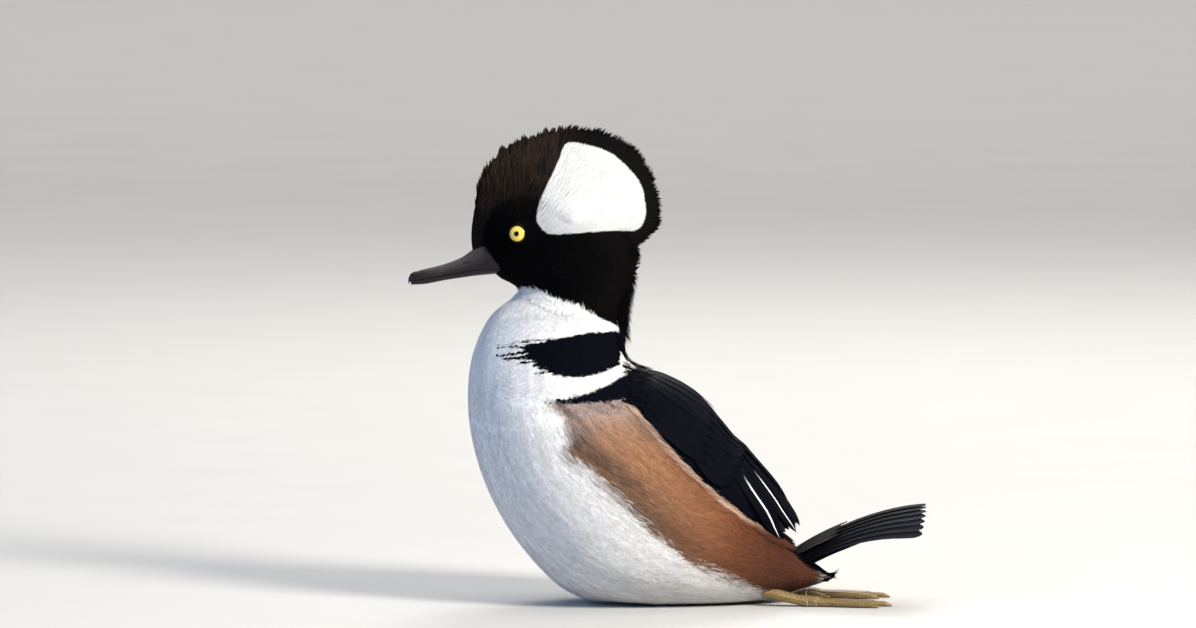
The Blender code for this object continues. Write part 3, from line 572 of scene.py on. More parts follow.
def marking(place, draw, crest=False):
    """The colour of points with a number from 0 to 1 for each feather. The fourth number is for the bars, or
    on head and crest how deep the point lies in the crest's white."""
    x, y, z = place.T
    z = seen_height(y, z)
    jitter = draw - 0.5

    def over(base, colour, amount):
        return base + (np.array(colour) - base) * amount[:, None]

    colour = all_over(WHITE, len(x))
    # Faint grey streaks low on the breast
    streak = step(np.abs(jitter), 0.40, 0.46) * step(-z, -105, -70) * step(-x, -10, 30)
    colour = over(colour, SHADE_WHITE, 0.45 * streak)
    tailward = step(x, 25, 55)
    under = step(np.abs(y), 10 - 8 * tailward, 26 - 17 * tailward)
    flank = depth_in(FLANK, x, z)
    along_flank = 0.59 * x + 0.81 * z
    front = flank + jitter * 4 + 3 * strand(along_flank, 2.2, 3) - 1.5
    inside = step(front, -1, 5) * under
    rear = step(x, -20, 45)
    high = step(z, 72, 98)
    warm = step(front, 7, 24 - 6 * rear)
    back = depth_in(BACK, x, z)
    brown = over(all_over(FLANK_DUSK, len(x)), FLANK_GREY, high)
    inner = over(all_over(CINNAMON, len(x)), TAN, high)
    brown = brown + (inner - brown) * warm[:, None]
    brown = over(brown, RUFOUS, rear)
    brown = over(brown, RUMP_BROWN, step(x, 22, 58))
    # A painted highlight on the flank's uppermost feathers draws a pale line along the wing
    brown = over(brown, FLANK_EDGE_HIGHLIGHT, 0.95 * step(back, -3.0, -1.2) * step(x, -22, -12) * step(z, 34, 46))
    patchy = step(strand(along_flank + 0.25 * front, 4.5, 7), 0.25, 0.75)
    dusky = (strand(along_flank, 1.3, 5) > 0.45) * step(front, -5, 2) * step(-front, -17, -6) * step(z, 28, 50)
    brown = over(brown, FLANK_DARK, 0.75 * dusky * patchy * (draw < 0.85))
    in_white = 0.75 * dusky * patchy * under * (draw < 0.5)
    colour = colour + (brown - colour) * np.maximum(inside, in_white)[:, None]
    bars = inside * (0.24 + 0.12 * (1 - warm))

    # The black bars run out towards the breast in single strands of different lengths
    far = step(-x, 48, 80)
    run_out = x + far * (22 * strand(z - 0.12 * x, 0.8, 1) ** 1.5 - 15)
    low_run = x + step(-x, 30, 60) * (10 * strand(z + 0.2 * x, 0.8, 2) - 6)
    middle = step(MIDDLE_HALF - np.abs(y), 0, 2)
    dark = np.maximum.reduce([
        step(depth_in(SPUR, run_out, z) + 0.6 * jitter * (1 + 2 * far), -0.5, 0.3),
        step(depth_in(LOWER_SPUR, low_run, z) + 0.5 * jitter, -0.5, 0.3),
        step(back + 0.6 * jitter, -0.4, 0.4),
        middle * (x > MIDDLE_FRONT) * (z > MIDDLE_LOW) * (z < MIDDLE_HIGH),
        step(z - np.interp(x, *RUMP_EDGE.T), -1, 1) * (x > RUMP_EDGE[0, 0]) * middle,
    ])
    colour = over(colour, BLUE_BLACK, dark)
    bars = bars * (1 - dark)

    head = step(depth_in(NECK, x, z) + 0.7 * jitter, -0.4, 0.5)
    # The crest is brown in front and black towards the nape
    fore = step(z, 195, 206) * (0.35 + 0.65 * step(z, 204, 226)) * step(-x, 40, 62)
    black = over(all_over(HEAD_BLACK, len(x)), CREST_BROWN, np.clip(fore * (0.6 + 1.1 * jitter), 0, 1))
    colour = colour + (black - colour) * head[:, None]
    bars = bars * (1 - head)
    depth = depth_in(CREST_WHITE, x, z) + 0.5 * jitter
    if crest:
        return np.concatenate([colour, np.clip(depth, -WHITE_DEPTH, WHITE_DEPTH)[:, None]], 1)

    white = step(depth, -0.5, 0.5)
    colour = over(colour, CREST_WHITE_TONE, white)
    shade = 1 + np.where(white > 0.5, WHITE_CHANGE, SHADE_CHANGE) * np.sin(draw * 40)
    return np.concatenate([colour * shade[:, None], bars[:, None]], 1)


breast = marking(np.array([[-90.0, 0.0, 100.0]]), np.array([0.5]))[0]
print("colour and bars in the middle of the breast:", breast.round(3))

# %% [markdown]
# ## The finish of feathers
#
# A feather's vane is made of fine barbs, and it is silky but hardly shiny: a glossy black feather would look
# grey. The markings come with the points. Noise varies them in streaks, and a bump follows the barbs, whose
# count each point carries along its vane. On the body the fourth number draws the dark bars. On neck, head
# and crest it is the depth in the crest's white, and the shader draws the border from it, so that it stays
# sharp where long feathers cross it.

# %% Plumage materials
BAR_SPACING = 1.1
# Streaks round the body and along it
STREAKS = (95.0, 17.0)
# Half the width of the white's border, in millimetres
BORDER = 0.35


def plumage(name, roughness, shine, barbs, fan=False, streaky=1.0):
    """A finish for feathers: barbs is the depth of their bump, streaky how dark the darkest streaks are."""
    finish = Finish(name, Roughness=roughness, Specular_IOR_Level=shine)
    marks, vane = finish.stored("marking"), finish.stored("vane")["Vector"]
    speckle = finish.span(finish.noise(900, 3), 0.3, 0.7, 0.90, 1.07)
    flow = finish.node("Mapping", Vector=vane, Scale=(*STREAKS, 0.0)).outputs[0]
    streak = finish.span(finish.noise(1.0, 3, 0.6, flow), 0.32, 0.62, streaky, 1.0)
    grey = finish.grey(finish.math("MULTIPLY", speckle, streak))
    colour = finish.tint("MULTIPLY", 1.0, marks["Color"], grey)
    if fan:
        white = finish.tint("MULTIPLY", 1.0, (*CREST_WHITE_TONE, 1), grey)
        edge = finish.span(marks["Alpha"], -BORDER, BORDER, 0.0, 1.0)
        colour = finish.tint("MIX", edge, colour, white)
    else:
        wave = finish.node("TexWave", {"bands_direction": "DIAGONAL"}, Vector=finish.here(),
                           Scale=0.32 / (BAR_SPACING * MM), Distortion=9.0, Detail=2.0)
        wave.inputs["Detail Scale"].default_value = 1.6
        dark = finish.span(wave.outputs["Fac"], 0.35, 0.75, 0.0, 1.0)
        bars = finish.math("MULTIPLY", dark, marks["Alpha"])
        colour = finish.tint("MIX", bars, colour, (*FLANK_DARK, 1))
    finish.colour(colour)
    count = finish.node("SeparateXYZ", Vector=vane).outputs["Z"]
    wavy = finish.math("SINE", finish.math("MULTIPLY", count, 2 * math.pi))
    finish.bump(wavy, barbs)
    return finish


body_finish = plumage("body_plumage", 0.85, 0.03, 0.03, streaky=0.80)
head_finish = plumage("head_plumage", 0.62, 0.03, 0.02, fan=True)
crest_finish = plumage("crest_plumage", 0.66, 0.05, 0.012, fan=True)
wing_finish = plumage("wing_plumage", 0.56, 0.028, 0.04)
tail_finish = plumage("tail_plumage", 0.60, 0.07, 0.06)
for finish in (body_finish, head_finish, crest_finish, wing_finish, tail_finish):
    print(finish.material.name + ":", len(finish.tree.nodes), "nodes")

# %% [markdown]
# The skin itself is a closed mesh over the net. It shows only in chinks between the feathers, but it carries
# their markings and their finish, so that no chink looks like a hole.

# %% The skin's mesh


def closed(net):
    """The points of a net, and one more to close each end."""
    return np.concatenate([net.reshape(-1, 3), net[:1].mean(1), net[-1:].mean(1)])


def net_mesh(name, net, colours):
    """A closed mesh over a net whose columns run round."""
    rows, columns = net.shape[:2]
    i, j = np.meshgrid(np.arange(rows - 1), np.arange(columns), indexing="ij")
    k = (j + 1) % columns
    quads = np.stack([i * columns + j, (i + 1) * columns + j, (i + 1) * columns + k, i * columns + k], -1)
    quads = quads.reshape(-1, 4)
    faces = np.concatenate([quads[:, [0, 1, 2]], quads[:, [0, 2, 3]]])
    j = np.arange(columns)
    k = (j + 1) % columns
    low = np.stack([j, k, np.full(columns, rows * columns)], 1)
    high = np.stack([(rows - 1) * columns + k, (rows - 1) * columns + j, np.full(columns, rows * columns + 1)], 1)
    u = np.concatenate([np.repeat(np.arange(rows) / rows, columns), [0.0, 1.0]])
    v = np.concatenate([np.tile(np.arange(columns) / columns, rows), [0.5, 0.5]])
    return build(name, closed(net), np.concatenate([faces, low, high]), colours, on_map(v, u))


skin_points = closed(skin_net)
skin_colours = marking(skin_points, np.full(len(skin_points), 0.5))
skin = finished(net_mesh("skin", skin_net, skin_colours), body_finish, "body_plumage", "torso", "neck", "head")
print("skin:", len(skin.data.polygons), "faces")

# %% [markdown]
# ## Feathers from spines
#
# A feather is a spine of a few points with a width at each, and a thin closed section round it. One function
# makes thousands of them from arrays. The section has few sides on small feathers and more on large ones. The
# spine's last point is the tip.

# %% Vanes from spines
TUFT = [(-1.0, 0.0), (0.0, 1.0), (1.0, 0.0)]
SMALL_VANE = [(-1.0, 0.0), (-0.45, 0.75), (0.0, 1.0), (0.45, 0.75), (1.0, 0.0), (0.0, -0.2)]
LARGE_VANE = [(-1.0, 0.0), (-0.6, 0.45), (-0.13, 0.68), (-0.05, 0.7), (0.0, 1.0), (0.05, 0.7), (0.13, 0.68),
              (0.6, 0.45), (1.0, 0.0), (0.5, -0.25), (0.0, -0.4), (-0.5, -0.25)]
# The size of a small feather on the map
PATCH = 0.003
# The distance from barb to barb, and how far a barb slants forward on its way to the edge
BARB, BARB_SLANT = 0.45, 1.2
SHARP_ANGLE = 70


def vanes(name, spine, normal, widths, thick, section, draw, colour_at, uv_at, patch=(PATCH, PATCH), barb=BARB,
          one_colour=False):
    """Closed vanes: spine and normal hold a row of points for each feather, widths the half width at each."""
    count, points_on = spine.shape[:2]
    rings = points_on - 1
    along = unit(np.gradient(spine, axis=1))
    side = unit(np.cross(along, normal))
    face = np.cross(side, along)
    section = np.array(section)
    sides = len(section)
    t, h = section[:, 0], section[:, 1]
    ring = (spine[:, :rings, None]
            + side[:, :rings, None] * (widths[:, :rings, None] * t)[..., None]
            + face[:, :rings, None] * (thick * h)[None, None, :, None])
    points = np.concatenate([ring.reshape(count, -1, 3), spine[:, -1:]], 1)
    per = points.shape[1]
    faces = [(0, j, j + 1) for j in range(1, sides - 1)]
    for i in range(rings - 1):
        for j in range(sides):
            k = (j + 1) % sides
            a, b, c, d = i * sides + j, i * sides + k, (i + 1) * sides + k, (i + 1) * sides + j
            faces += [(a, c, b), (a, d, c)]
    last = (rings - 1) * sides
    faces += [(last + j, per - 1, last + (j + 1) % sides) for j in range(sides)]
    faces = (np.array(faces)[None] + (np.arange(count) * per)[:, None, None]).reshape(-1, 3)
    share = np.concatenate([np.repeat(np.arange(rings) / (points_on - 1), sides), [1.0]])
    across = np.concatenate([np.tile(t, rings), [0.0]])
    length = np.linalg.norm(np.diff(spine, axis=1), axis=2).sum(1)
    width = widths.max(1)
    barbs = (length[:, None] * share - BARB_SLANT * width[:, None] * np.abs(across)) / barb
    vane = np.concatenate([np.repeat(uv_at[:, None], per, 1), barbs[..., None]], -1)
    flat = points.reshape(-1, 3)
    draws = np.repeat(draw, per)
    if one_colour:
        # The part that shows lies towards the tip
        shown = spine[:, -1] * 0.6 + spine[:, points_on // 2] * 0.4
        colours = np.repeat(colour_at(shown, draw), per, 0)
    else:
        colours = colour_at(flat, draws)
    uvs = uv_at[:, None] + np.stack([across * 0.5, share - 0.5], -1)[None] * np.array(patch)
    # Thin edges are marked sharp, or the shading would round them like a pillow
    return build(name, flat, faces, colours, uvs.reshape(-1, 2), vane.reshape(-1, 3), SHARP_ANGLE)


print("sides of a tuft, a small vane and a large one:", [len(cut) for cut in (TUFT, SMALL_VANE, LARGE_VANE)])

# %% [markdown]
# ## The lie of the coat
#
# Feathers point away from the bill, so that air slides over them. On the body that is simply back
# along the skin's rows, towards the vent, and on the shoulders back and a little up. On the face they part
# round the bill, and above the eye they turn up into the fan of the crest. Its feathers point away from a
# spot in the cheek, or at the forehead from one under the bill. The directions are blended, as a comb would.

# %% Which way feathers point
FACE_FOCUS = np.array([-99.0, 0.0, 173.0])
FAN_FOCUS, FORE_FOCUS = np.array([-66.0, 187.0]), np.array([-97.0, 150.0])
CREST_CENTRE = np.array([-48.0, 196.0])


def crest_angle(x, z):
    """Where a place of the side view lies round the crest: 0 at the nape's side, 90 on top, 180 in front."""
    angle = np.degrees(np.arctan2(z - CREST_CENTRE[1], x - CREST_CENTRE[0]))
    return np.where(angle < -90, angle + 360, angle)


def fan_way(x, z):
    """The direction of the crest's feathers on the side view."""
    fore = np.clip((crest_angle(x, z) - 110) / 70, 0, 1)[:, None]
    focus = FAN_FOCUS * (1 - fore) + FORE_FOCUS * fore
    way = unit(np.stack([x, z], 1) - focus)
    return np.stack([way[:, 0], np.zeros(len(x)), way[:, 1]], 1)


def lie(place, along):
    """Which way a feather points at a place of the skin."""
    x, y, z = place.T
    down = -unit(along)
    seen = seen_height(y, z)
    sweep = step(seen, 99, 106) * step(-seen, -158, -134) * step(np.abs(y), 8, 22) * step(x, -94, -78)
    sweep = sweep[:, None]
    rise = np.radians(8 + 16 * step(x, -70, -35))
    down = unit(down * (1 - sweep) + np.stack([np.cos(rise), 0 * rise, np.sin(rise)], 1) * sweep)
    face = unit(place - FACE_FOCUS)
    up = step(z, 186, 197)[:, None] * step(x, -100, -88)[:, None]
    face = unit(face * (1 - up) + fan_way(x, z) * up)
    chin = step(-x, 74, 82) * step(z, 157, 160)
    head = np.maximum(step(z, 148, 172), chin)[:, None]
    return unit(down * (1 - head) + face * head)


# The most rows and columns that a feather may cross in a millimetre, where the net is tight
MOST_ROWS, MOST_COLUMNS = 3, 6


def walk(rows, columns, lengths, steps, twist, stiff, face):
    """Spines that run over the skin along the lie; past the stiff share of its length a spine runs straight."""
    spine, normals = [], []
    for k in range(steps + 1):
        normal = unit(read(face["normal"], rows, columns))
        place = read(face["place"], rows, columns)
        if k and k / steps > stiff:
            place = spine[-1] + (spine[-1] - spine[-2])
            normal = normals[-1]
        elif k:
            off = (rows < 1.5)[:, None]
            place = np.where(off, spine[-1] + way * (lengths / steps)[:, None], place)
        spine.append(place)
        normals.append(normal)
        along, around = read(face["along"], rows, columns), read(face["around"], rows, columns)
        way = lie(place, along)
        way = unit(way - normal * (way * normal).sum(1)[:, None])
        way = unit(way + np.cross(normal, way) * np.tan(twist)[:, None])
        a, b, c = (along * along).sum(1), (along * around).sum(1), (around * around).sum(1)
        p, q = (way * along).sum(1), (way * around).sum(1)
        room = np.maximum(a * c - b * b, 1e-6)
        rows = rows + np.clip((p * c - q * b) / room, -MOST_ROWS, MOST_ROWS) * lengths / steps
        columns = columns + np.clip((q * a - p * b) / room, -MOST_COLUMNS, MOST_COLUMNS) * lengths / steps
        rows = np.clip(rows, 1.0, ROWS - 2.0)
    return np.stack(spine, 1), np.stack(normals, 1)


print("a feather's way on the cheek:", lie(np.array([[-70.0, -14.0, 185.0]]), np.array([[0.0, 0.0, 1.0]])).round(2))

# %% [markdown]
# ## Roots spread evenly
#
# Random places clump and leave bald spots. A sequence that fills a square evenly, bent by how much skin each
# cell of the net holds and how many feathers should grow there, gives roots that are even but form no rows.

# %% Roots on the skin
# The number whose powers spread points evenly over a square
GOLDEN = 1.32471795724474602596


def roots(count, density, face):
    """Rows and columns of the net for a number of roots, where density gives how many grow at a place."""
    cells = np.linalg.norm(np.cross(face["along"], face["around"]), axis=2)
    flat = face["place"].reshape(-1, 3)
    weight = cells * np.clip(density(flat[:, 0], flat[:, 1], flat[:, 2]), 0, None).reshape(cells.shape)
    weight[:3] = 0
    weight[-2:] = 0
    index = np.arange(1, count + 1)
    first, second = (0.5 + index / GOLDEN) % 1, (0.5 + index / GOLDEN**2) % 1
    by_row = np.concatenate([[0], np.cumsum(weight.sum(1))])
    rows = np.interp(first * by_row[-1], by_row, np.arange(ROWS + 1)) - 0.5
    rows = np.clip(rows, 0, ROWS - 1.001)
    columns = np.zeros(count)
    nearest = np.round(rows).astype(int)
    for row in np.unique(nearest):
        chosen = nearest == row
        total = np.concatenate([[0], np.cumsum(weight[row])])
        columns[chosen] = np.interp(second[chosen] * total[-1], total, np.arange(COLUMNS + 1)) - 0.5
    return rows, columns


# Feathers lift off the skin slowly at first
RISE_POWER = 1.3


def coat(name, count, density, length, half_width, lift, finish, slot, seed, shape, section=TUFT,
         thick=0.16, twist=0.12, stiff=1.0, one_colour=True, face=SKIN, sink=0.35, colour_at=marking):
    """Small feathers all over a stretch of skin. Length, half width, lift and sink may depend on the place."""
    draw = np.random.default_rng(seed)
    rows, columns = roots(count, density, face)
    x, y, z = read(face["place"], rows, columns).T

    def here(value):
        return value(x, y, z) if callable(value) else np.full(count, value)

    size = draw.uniform(0.85, 1.15, count)
    lengths, wide = here(length) * size, here(half_width) * size
    rise = here(lift) * draw.uniform(0.6, 1.25, count)
    steps = len(shape) - 1
    spine, normals = walk(rows, columns, lengths, steps, draw.normal(0, twist, count), stiff, face)
    share = np.linspace(0, 1, steps + 1)
    root = here(sink)[:, None]
    height = -root + (rise[:, None] + root) * share**RISE_POWER
    spine = spine + normals * height[..., None]
    widths = wide[:, None] * np.array(shape)
    piece = vanes(name, spine, normals, widths, thick, section, draw.uniform(0, 1, count), colour_at,
                  on_map((columns % COLUMNS) / COLUMNS, rows / ROWS), one_colour=one_colour)
    print(name + ":", count, "feathers,", len(piece.data.polygons), "triangles")
    return finished(piece, finish, slot)


# %% [markdown]
# ## The body's feathers
#
# Breast and belly are covered with small feathers whose vanes hardly show: a dense, silky surface. Broad
# rounded vanes give the body its fine scalloped relief, and a second layer of narrow barb tufts over them
# breaks every edge. On the shoulders the tufts are shortest, so that the borders of black and white are fine.
# The flank's feathers are longer.

# %% Breast, belly and flanks
BROAD = [0.55, 1.0, 0.92, 0.0]
NARROW = [0.8, 1.0, 0.0]
BILL_EDGE = [(-92, 186), (-91.6, 176.3), (-86.8, 173.3), (-83.2, 171.0), (-82.4, 169), (-88, 165.5),
             (-125, 158), (-125, 190)]
eye_low, eye_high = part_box("eye_left")
EYE = to_drawing((eye_low + eye_high) / 2)
EYE_RADIUS = (eye_high.z - eye_low.z) / 2 / MM


def is_flank(x, y, z):
    """True in the brown flank and a little way round it."""
    return (depth_in(FLANK, x, z) > -6) * (np.abs(y) > 10) * (z < 104)


def is_back(x, y, z):
    """True on the black back and down the middle of the nape."""
    return np.maximum(depth_in(BACK, x, z) > 0, (np.abs(y) < MIDDLE_HALF) * (x > MIDDLE_FRONT) * (z > 60))


def on_flank(x, y, z):
    """True where the flank's own feathers grow."""
    return is_flank(x, y, z) * (1 - is_back(x, y, z))


def is_plain(x, y, z):
    """True on breast, belly and shoulders."""
    return (z < 162) * (depth_in(NECK, x, z) < 1) * (1 - is_flank(x, y, z)) * (1 - is_back(x, y, z))


def on_shoulder(x, y, z):
    """True where the black bars run."""
    return is_plain(x, y, z) * (z > 97) * (z < 152) * (np.abs(y) > 7) * (x > -96)


coat("coat_breast", 10500, lambda x, y, z: is_plain(x, y, z) * (1 + 1.2 * step(z, 92, 105)),
     lambda x, y, z: 8.5 - 3.5 * step(z, 90, 110), lambda x, y, z: 1.7 - 0.6 * step(z, 90, 110), 0.2, body_finish,
     "body_plumage", 3, BROAD, thick=0.12, twist=0.07)
coat("coat_flank", 4200, on_flank, 12.0, 1.9, 0.2, body_finish, "body_plumage", 5, BROAD, thick=0.12, twist=0.06)
coat("barbs_breast", 17500, lambda x, y, z: is_plain(x, y, z) * (1 - 0.8 * on_shoulder(x, y, z)),
     lambda x, y, z: 9.0 - 3.0 * step(z, 110, 150), 0.30, 0.45, body_finish, "body_plumage", 8, NARROW, thick=0.08,
     twist=0.08)
coat("barbs_shoulder", 10500, on_shoulder, 4.2, 0.27, 0.4, body_finish, "body_plumage", 10, NARROW, thick=0.08,
     twist=0.06)
coat("barbs_flank", 9500, on_flank, 12.5, 0.32, 0.5, body_finish, "body_plumage", 9, NARROW, thick=0.08,
     twist=0.06)

# %% [markdown]
# ## Neck and head
#
# The neck is black velvet: very short, dense, hair-like feathers with hardly any vane. On the face they are
# smallest, round the eye and at the edge of the bill, and they get longer towards the crest. At the crown,
# loose tufts lead over into the crest, and a few more stand out behind at the nape.

# %% Neck and head
# The face is bare this far round the eye's middle, and the crown's loose tufts start farther out
EYE_BARE, EYE_CLEAR = 5.6, 7.5
LONG_TUFT = [0.6, 0.9, 1.0, 0.85, 0.5, 0.0]


def off_eye(x, z, reach):
    """True farther from the eye's middle than a reach."""
    return np.hypot(x - EYE[0], z - EYE[2]) > reach


def on_head(x, y, z):
    """How thickly the face is feathered: bare at the bill and the eye, thickest in front."""
    bill = depth_in(BILL_EDGE, x, z) > 0
    return (z > 166) * (1 - bill) * (off_eye(x, z, EYE_BARE) | (np.abs(y) < 8)) * (1 + 1.2 * (x < -60))


def head_length(x, y, z):
    """Feathers on the head are shortest at the bill and longest at the crest."""
    return 2.6 + 4.2 * step(x, -92, -55) + 3.5 * step(z, 190, 206)


def on_neck(x, y, z):
    """True in the black of the neck."""
    return (depth_in(NECK, x, z) > -1) * (z < 169)


def crest_marking(place, draw):
    """The marking with the depth in the crest's white as its fourth number."""
    return marking(place, draw, True)


def on_crown(x, y, z):
    """True above the eye and in front of the crest's white."""
    crown = (z > 191) * (x < -62) * (x > -97) * (np.abs(y) > 1.5)
    return crown * (depth_in(CREST_WHITE, x, z) < -2) * off_eye(x, z, EYE_CLEAR)


coat("coat_neck", 10500, on_neck, 6.5, 0.42, 0.9, head_finish, "head_plumage", 11, NARROW, thick=0.14,
     twist=0.2, colour_at=crest_marking)
coat("coat_head", 12000, on_head, head_length, lambda x, y, z: 0.30 + 0.12 * step(x, -90, -60), 0.85,
     head_finish, "head_plumage", 13, NARROW, thick=0.13, twist=0.16, one_colour=False, colour_at=crest_marking)
coat("coat_crown", 2600, on_crown, 12.0, 0.36, 1.4, head_finish, "head_plumage", 15, LONG_TUFT, thick=0.16,
     twist=0.10, stiff=0.4, one_colour=False, colour_at=crest_marking)
coat("coat_nape", 700, lambda x, y, z: (z > 140) * (z < 184) * (x > -34) * (np.abs(y) < 11), 10.0, 0.42, 3.6,
     head_finish, "head_plumage", 14, NARROW, thick=0.16, twist=0.35, colour_at=crest_marking)

# %% [markdown]
# ## The crest
#
# The raised crest is a thin fan, a few millimetres at its rim and as wide as the head at its root. Its
# feathers are long, narrow and loose, like hair, white with black tips, and dark brown in front. A thin
# inner blade carries the same markings. Three layers of feathers lie over it on each side: broad ones below,
# narrow ones above, and short ones where the fan's feathers part at its heart. A ragged fringe runs along the
# rim, whose reach was measured on the solid crest.

# %% The crest's shape
CREST_ARC = (-24.0, 196.0)
RIM_HALF_WIDTH, ROOT_HALF_WIDTH, WIDTH_POWER = 1.4, 18.0, 1.15
# The rim's reach from the crest's centre, measured every few degrees from the nape over the top
RIM = np.array([
    (-24, 36.5), (-20, 38.3), (-11.5, 42.2), (-4, 45.0), (7, 45.9), (20, 45.8), (34, 46.7), (46, 47.8),
    (59, 47.2), (72, 46.6), (84, 46.0), (92, 46.2), (100, 45.5), (116, 46.6), (126, 48.0), (133, 49.3),
    (139, 49.8), (149, 50.0), (157, 49.8), (167, 48.6), (180, 47.4), (194, 47.0),
])
rim_angles, rim_reach = RIM.T
print("rim reach in mm:", rim_reach.min(), "to", rim_reach.max())


def rim_at(angle):
    """The rim's reach at an angle round the crest."""
    return np.interp(angle, rim_angles, rim_reach)


def crest_half_width(x, z):
    """Half the crest's thickness at a place of the side view."""
    reach = np.hypot(x - CREST_CENTRE[0], z - CREST_CENTRE[1])
    share = np.clip(reach / rim_at(crest_angle(x, z)), 0, 1)
    return RIM_HALF_WIDTH + (ROOT_HALF_WIDTH - RIM_HALF_WIDTH) * (1 - share) ** WIDTH_POWER


# %% The blade inside the crest
# The blade ends at this share of the rim's reach, and this far from the centre where it sits in the head
BLADE_SHARE = 0.90
HEEL_REACH = 20.0
# It lies this deep under the crest's face, and is never thinner than this to each side
BLADE_DEPTH, BLADE_THIN = 1.3, 0.3
angles = np.arange(-60, 300, 4.0)
shares = np.array([0.1, 0.3, 0.5, 0.65, 0.78, 0.88, 0.95, 1.0])
blade_rows = []
for side in (1, -1):
    for share in shares[::side]:
        inside = (angles >= CREST_ARC[0]) & (angles <= CREST_ARC[1])
        reach_here = np.where(inside, rim_at(angles) * BLADE_SHARE, HEEL_REACH) * share
        x = CREST_CENTRE[0] + reach_here * np.cos(np.radians(angles))
        z = CREST_CENTRE[1] + reach_here * np.sin(np.radians(angles))
        half = np.maximum(crest_half_width(x, z) - BLADE_DEPTH, BLADE_THIN) * math.sqrt(1 - share**6)
        blade_rows.append(np.stack([x, side * half, z], 1))
blade_net = np.array(blade_rows)
blade_points = closed(blade_net)
blade = net_mesh("crest_blade", blade_net, crest_marking(blade_points, np.full(len(blade_points), 0.5)))
finished(blade, crest_finish, "crest_plumage", "crest")
print("blade:", len(blade.data.polygons), "faces")

# %% [markdown]
# Each crest feather ends at its own share of the way to the rim. It is drawn back from its tip along the
# fan's direction, with a slight bend of its own, and lies on the crest's face. Growing them from their roots
# would be closer to life, but the rim is what shows, and from the tips it can be spread evenly.

# %% The crest's feathers
# A feather is no longer than this share of the way to the spot that the fan spreads from
CREST_ROOT_SHARE = 0.5
CREST_STEPS, CREST_THICK = 7, 0.22
CREST_PROFILE = ([0, 0.25, 0.7, 0.92, 1], [0.6, 0.95, 1.0, 0.5, 0.0])


def crest_layer(name, count, ends, lengths, half_width, lift, seed, side=0, slack=0.0):
    """Long narrow feathers over one face of the crest, or along its rim where side is 0. Ends are the shares
    of the way to the rim where they end, and slack lets single ones stand out."""
    draw = np.random.default_rng(seed)
    index = np.arange(1, count + 1)
    angle = CREST_ARC[0] + (CREST_ARC[1] - CREST_ARC[0]) * ((0.5 + index / GOLDEN) % 1)
    level = ends[0] + (ends[1] - ends[0]) * np.sqrt((0.5 + index / GOLDEN**2) % 1)
    # On the forehead the feathers draw together into tufts, which end at different heights
    tuft = 4.2 + 1.6 * strand(level, 0.13, seed)
    tufted = step(angle, 80, 105) * step(-angle, -160, -125)
    clump = strand(angle, tuft, seed) - 0.5
    level = level * (1 + slack * (draw.normal(0, 0.7, count) + 1.6 * clump) + tufted * 0.022 * clump)

    def rim_place(at):
        return CREST_CENTRE + (rim_at(at) * level)[:, None] * np.stack(
            [np.cos(np.radians(at)), np.sin(np.radians(at))], 1)

    tip = rim_place(angle)
    drawn = rim_place(angle + ((np.floor(angle / tuft) + 0.5) * tuft - angle) * 0.45 * tufted) - tip
    way = fan_way(tip[:, 0], tip[:, 1])[:, [0, 2]]
    turn = draw.normal(0, 0.06, count)
    way = unit(way + np.stack([-way[:, 1], way[:, 0]], 1) * turn[:, None])
    focus = np.linalg.norm(tip - np.where((angle > 145)[:, None], FORE_FOCUS, FAN_FOCUS), axis=1)
    length = np.minimum(draw.uniform(*lengths, count), focus * CREST_ROOT_SHARE)
    bend = draw.normal(0, 0.035, count) * length
    share = np.linspace(0, 1, CREST_STEPS + 1)
    cross = np.stack([-way[:, 1], way[:, 0]], 1)
    flat = (tip[:, None] - way[:, None] * (length[:, None] * (1 - share))[..., None]
            + cross[:, None] * (bend[:, None] * 4 * share * (1 - share))[..., None]
            + drawn[:, None] * (share**2)[None, :, None])
    half = crest_half_width(flat[..., 0].ravel(), flat[..., 1].ravel()).reshape(count, -1)
    height = lift[0] + (lift[1] - lift[0]) * share[None] + draw.normal(0, 0.15, count)[:, None]
    y = side * (half + height) if side else draw.uniform(-1, 1, count)[:, None] * (half * 0.75)
    spine = np.stack([flat[..., 0], y, flat[..., 1]], -1)
    normals = np.tile(np.array([0.0, side or 1.0, 0.0]), (count, CREST_STEPS + 1, 1))
    widths = half_width * draw.uniform(0.75, 1.2, count)[:, None] * np.interp(share, *CREST_PROFILE)
    uv_at = on_map((angle + 30) / 240, np.clip(level, 0, 1))
    tone = np.clip(draw.uniform(0, 1, count) * (1 - 0.6 * tufted) + 0.6 * tufted * (clump + 0.5), 0, 1)
    piece = vanes(name, spine, normals, widths, CREST_THICK, TUFT, tone, crest_marking, uv_at)
    print(name + ":", count, "feathers,", len(piece.data.polygons), "triangles")
    return finished(piece, crest_finish, "crest_plumage")


SIDES = (("left", -1), ("right", 1))
for label, side in SIDES:
    crest_layer("crest_under_" + label, 1600, (0.45, 0.985), (20, 30), 1.15, (-1.2, -0.1), 21 + side, side=side)
    crest_layer("crest_over_" + label, 3200, (0.22, 0.99), (14, 24), 0.6, (-0.8, 0.4), 31 + side, side=side)
    crest_layer("crest_heart_" + label, 420, (0.02, 0.30), (12, 18), 0.6, (-0.9, 0.3), 36 + side, side=side)
crest_layer("crest_fringe", 1700, (0.93, 1.015), (18, 28), 0.7, (0, 0), 41, slack=0.014)

# %% [markdown]
# ## Back and wings
#
# The folded wings lie on the back under blue-black mantle feathers and scapulars. Behind them hang the long
# pointed tertials, two of them on each side with a white stripe along the shaft, over the brown-black
# primaries. The mantle's and the rump's small feathers are spread like the rest of the coat, and so are the
# narrow ones of the flank that run up over the wing's edge. They have the wing's own face to grow on, and sink
# into the coat a little way down the flank.

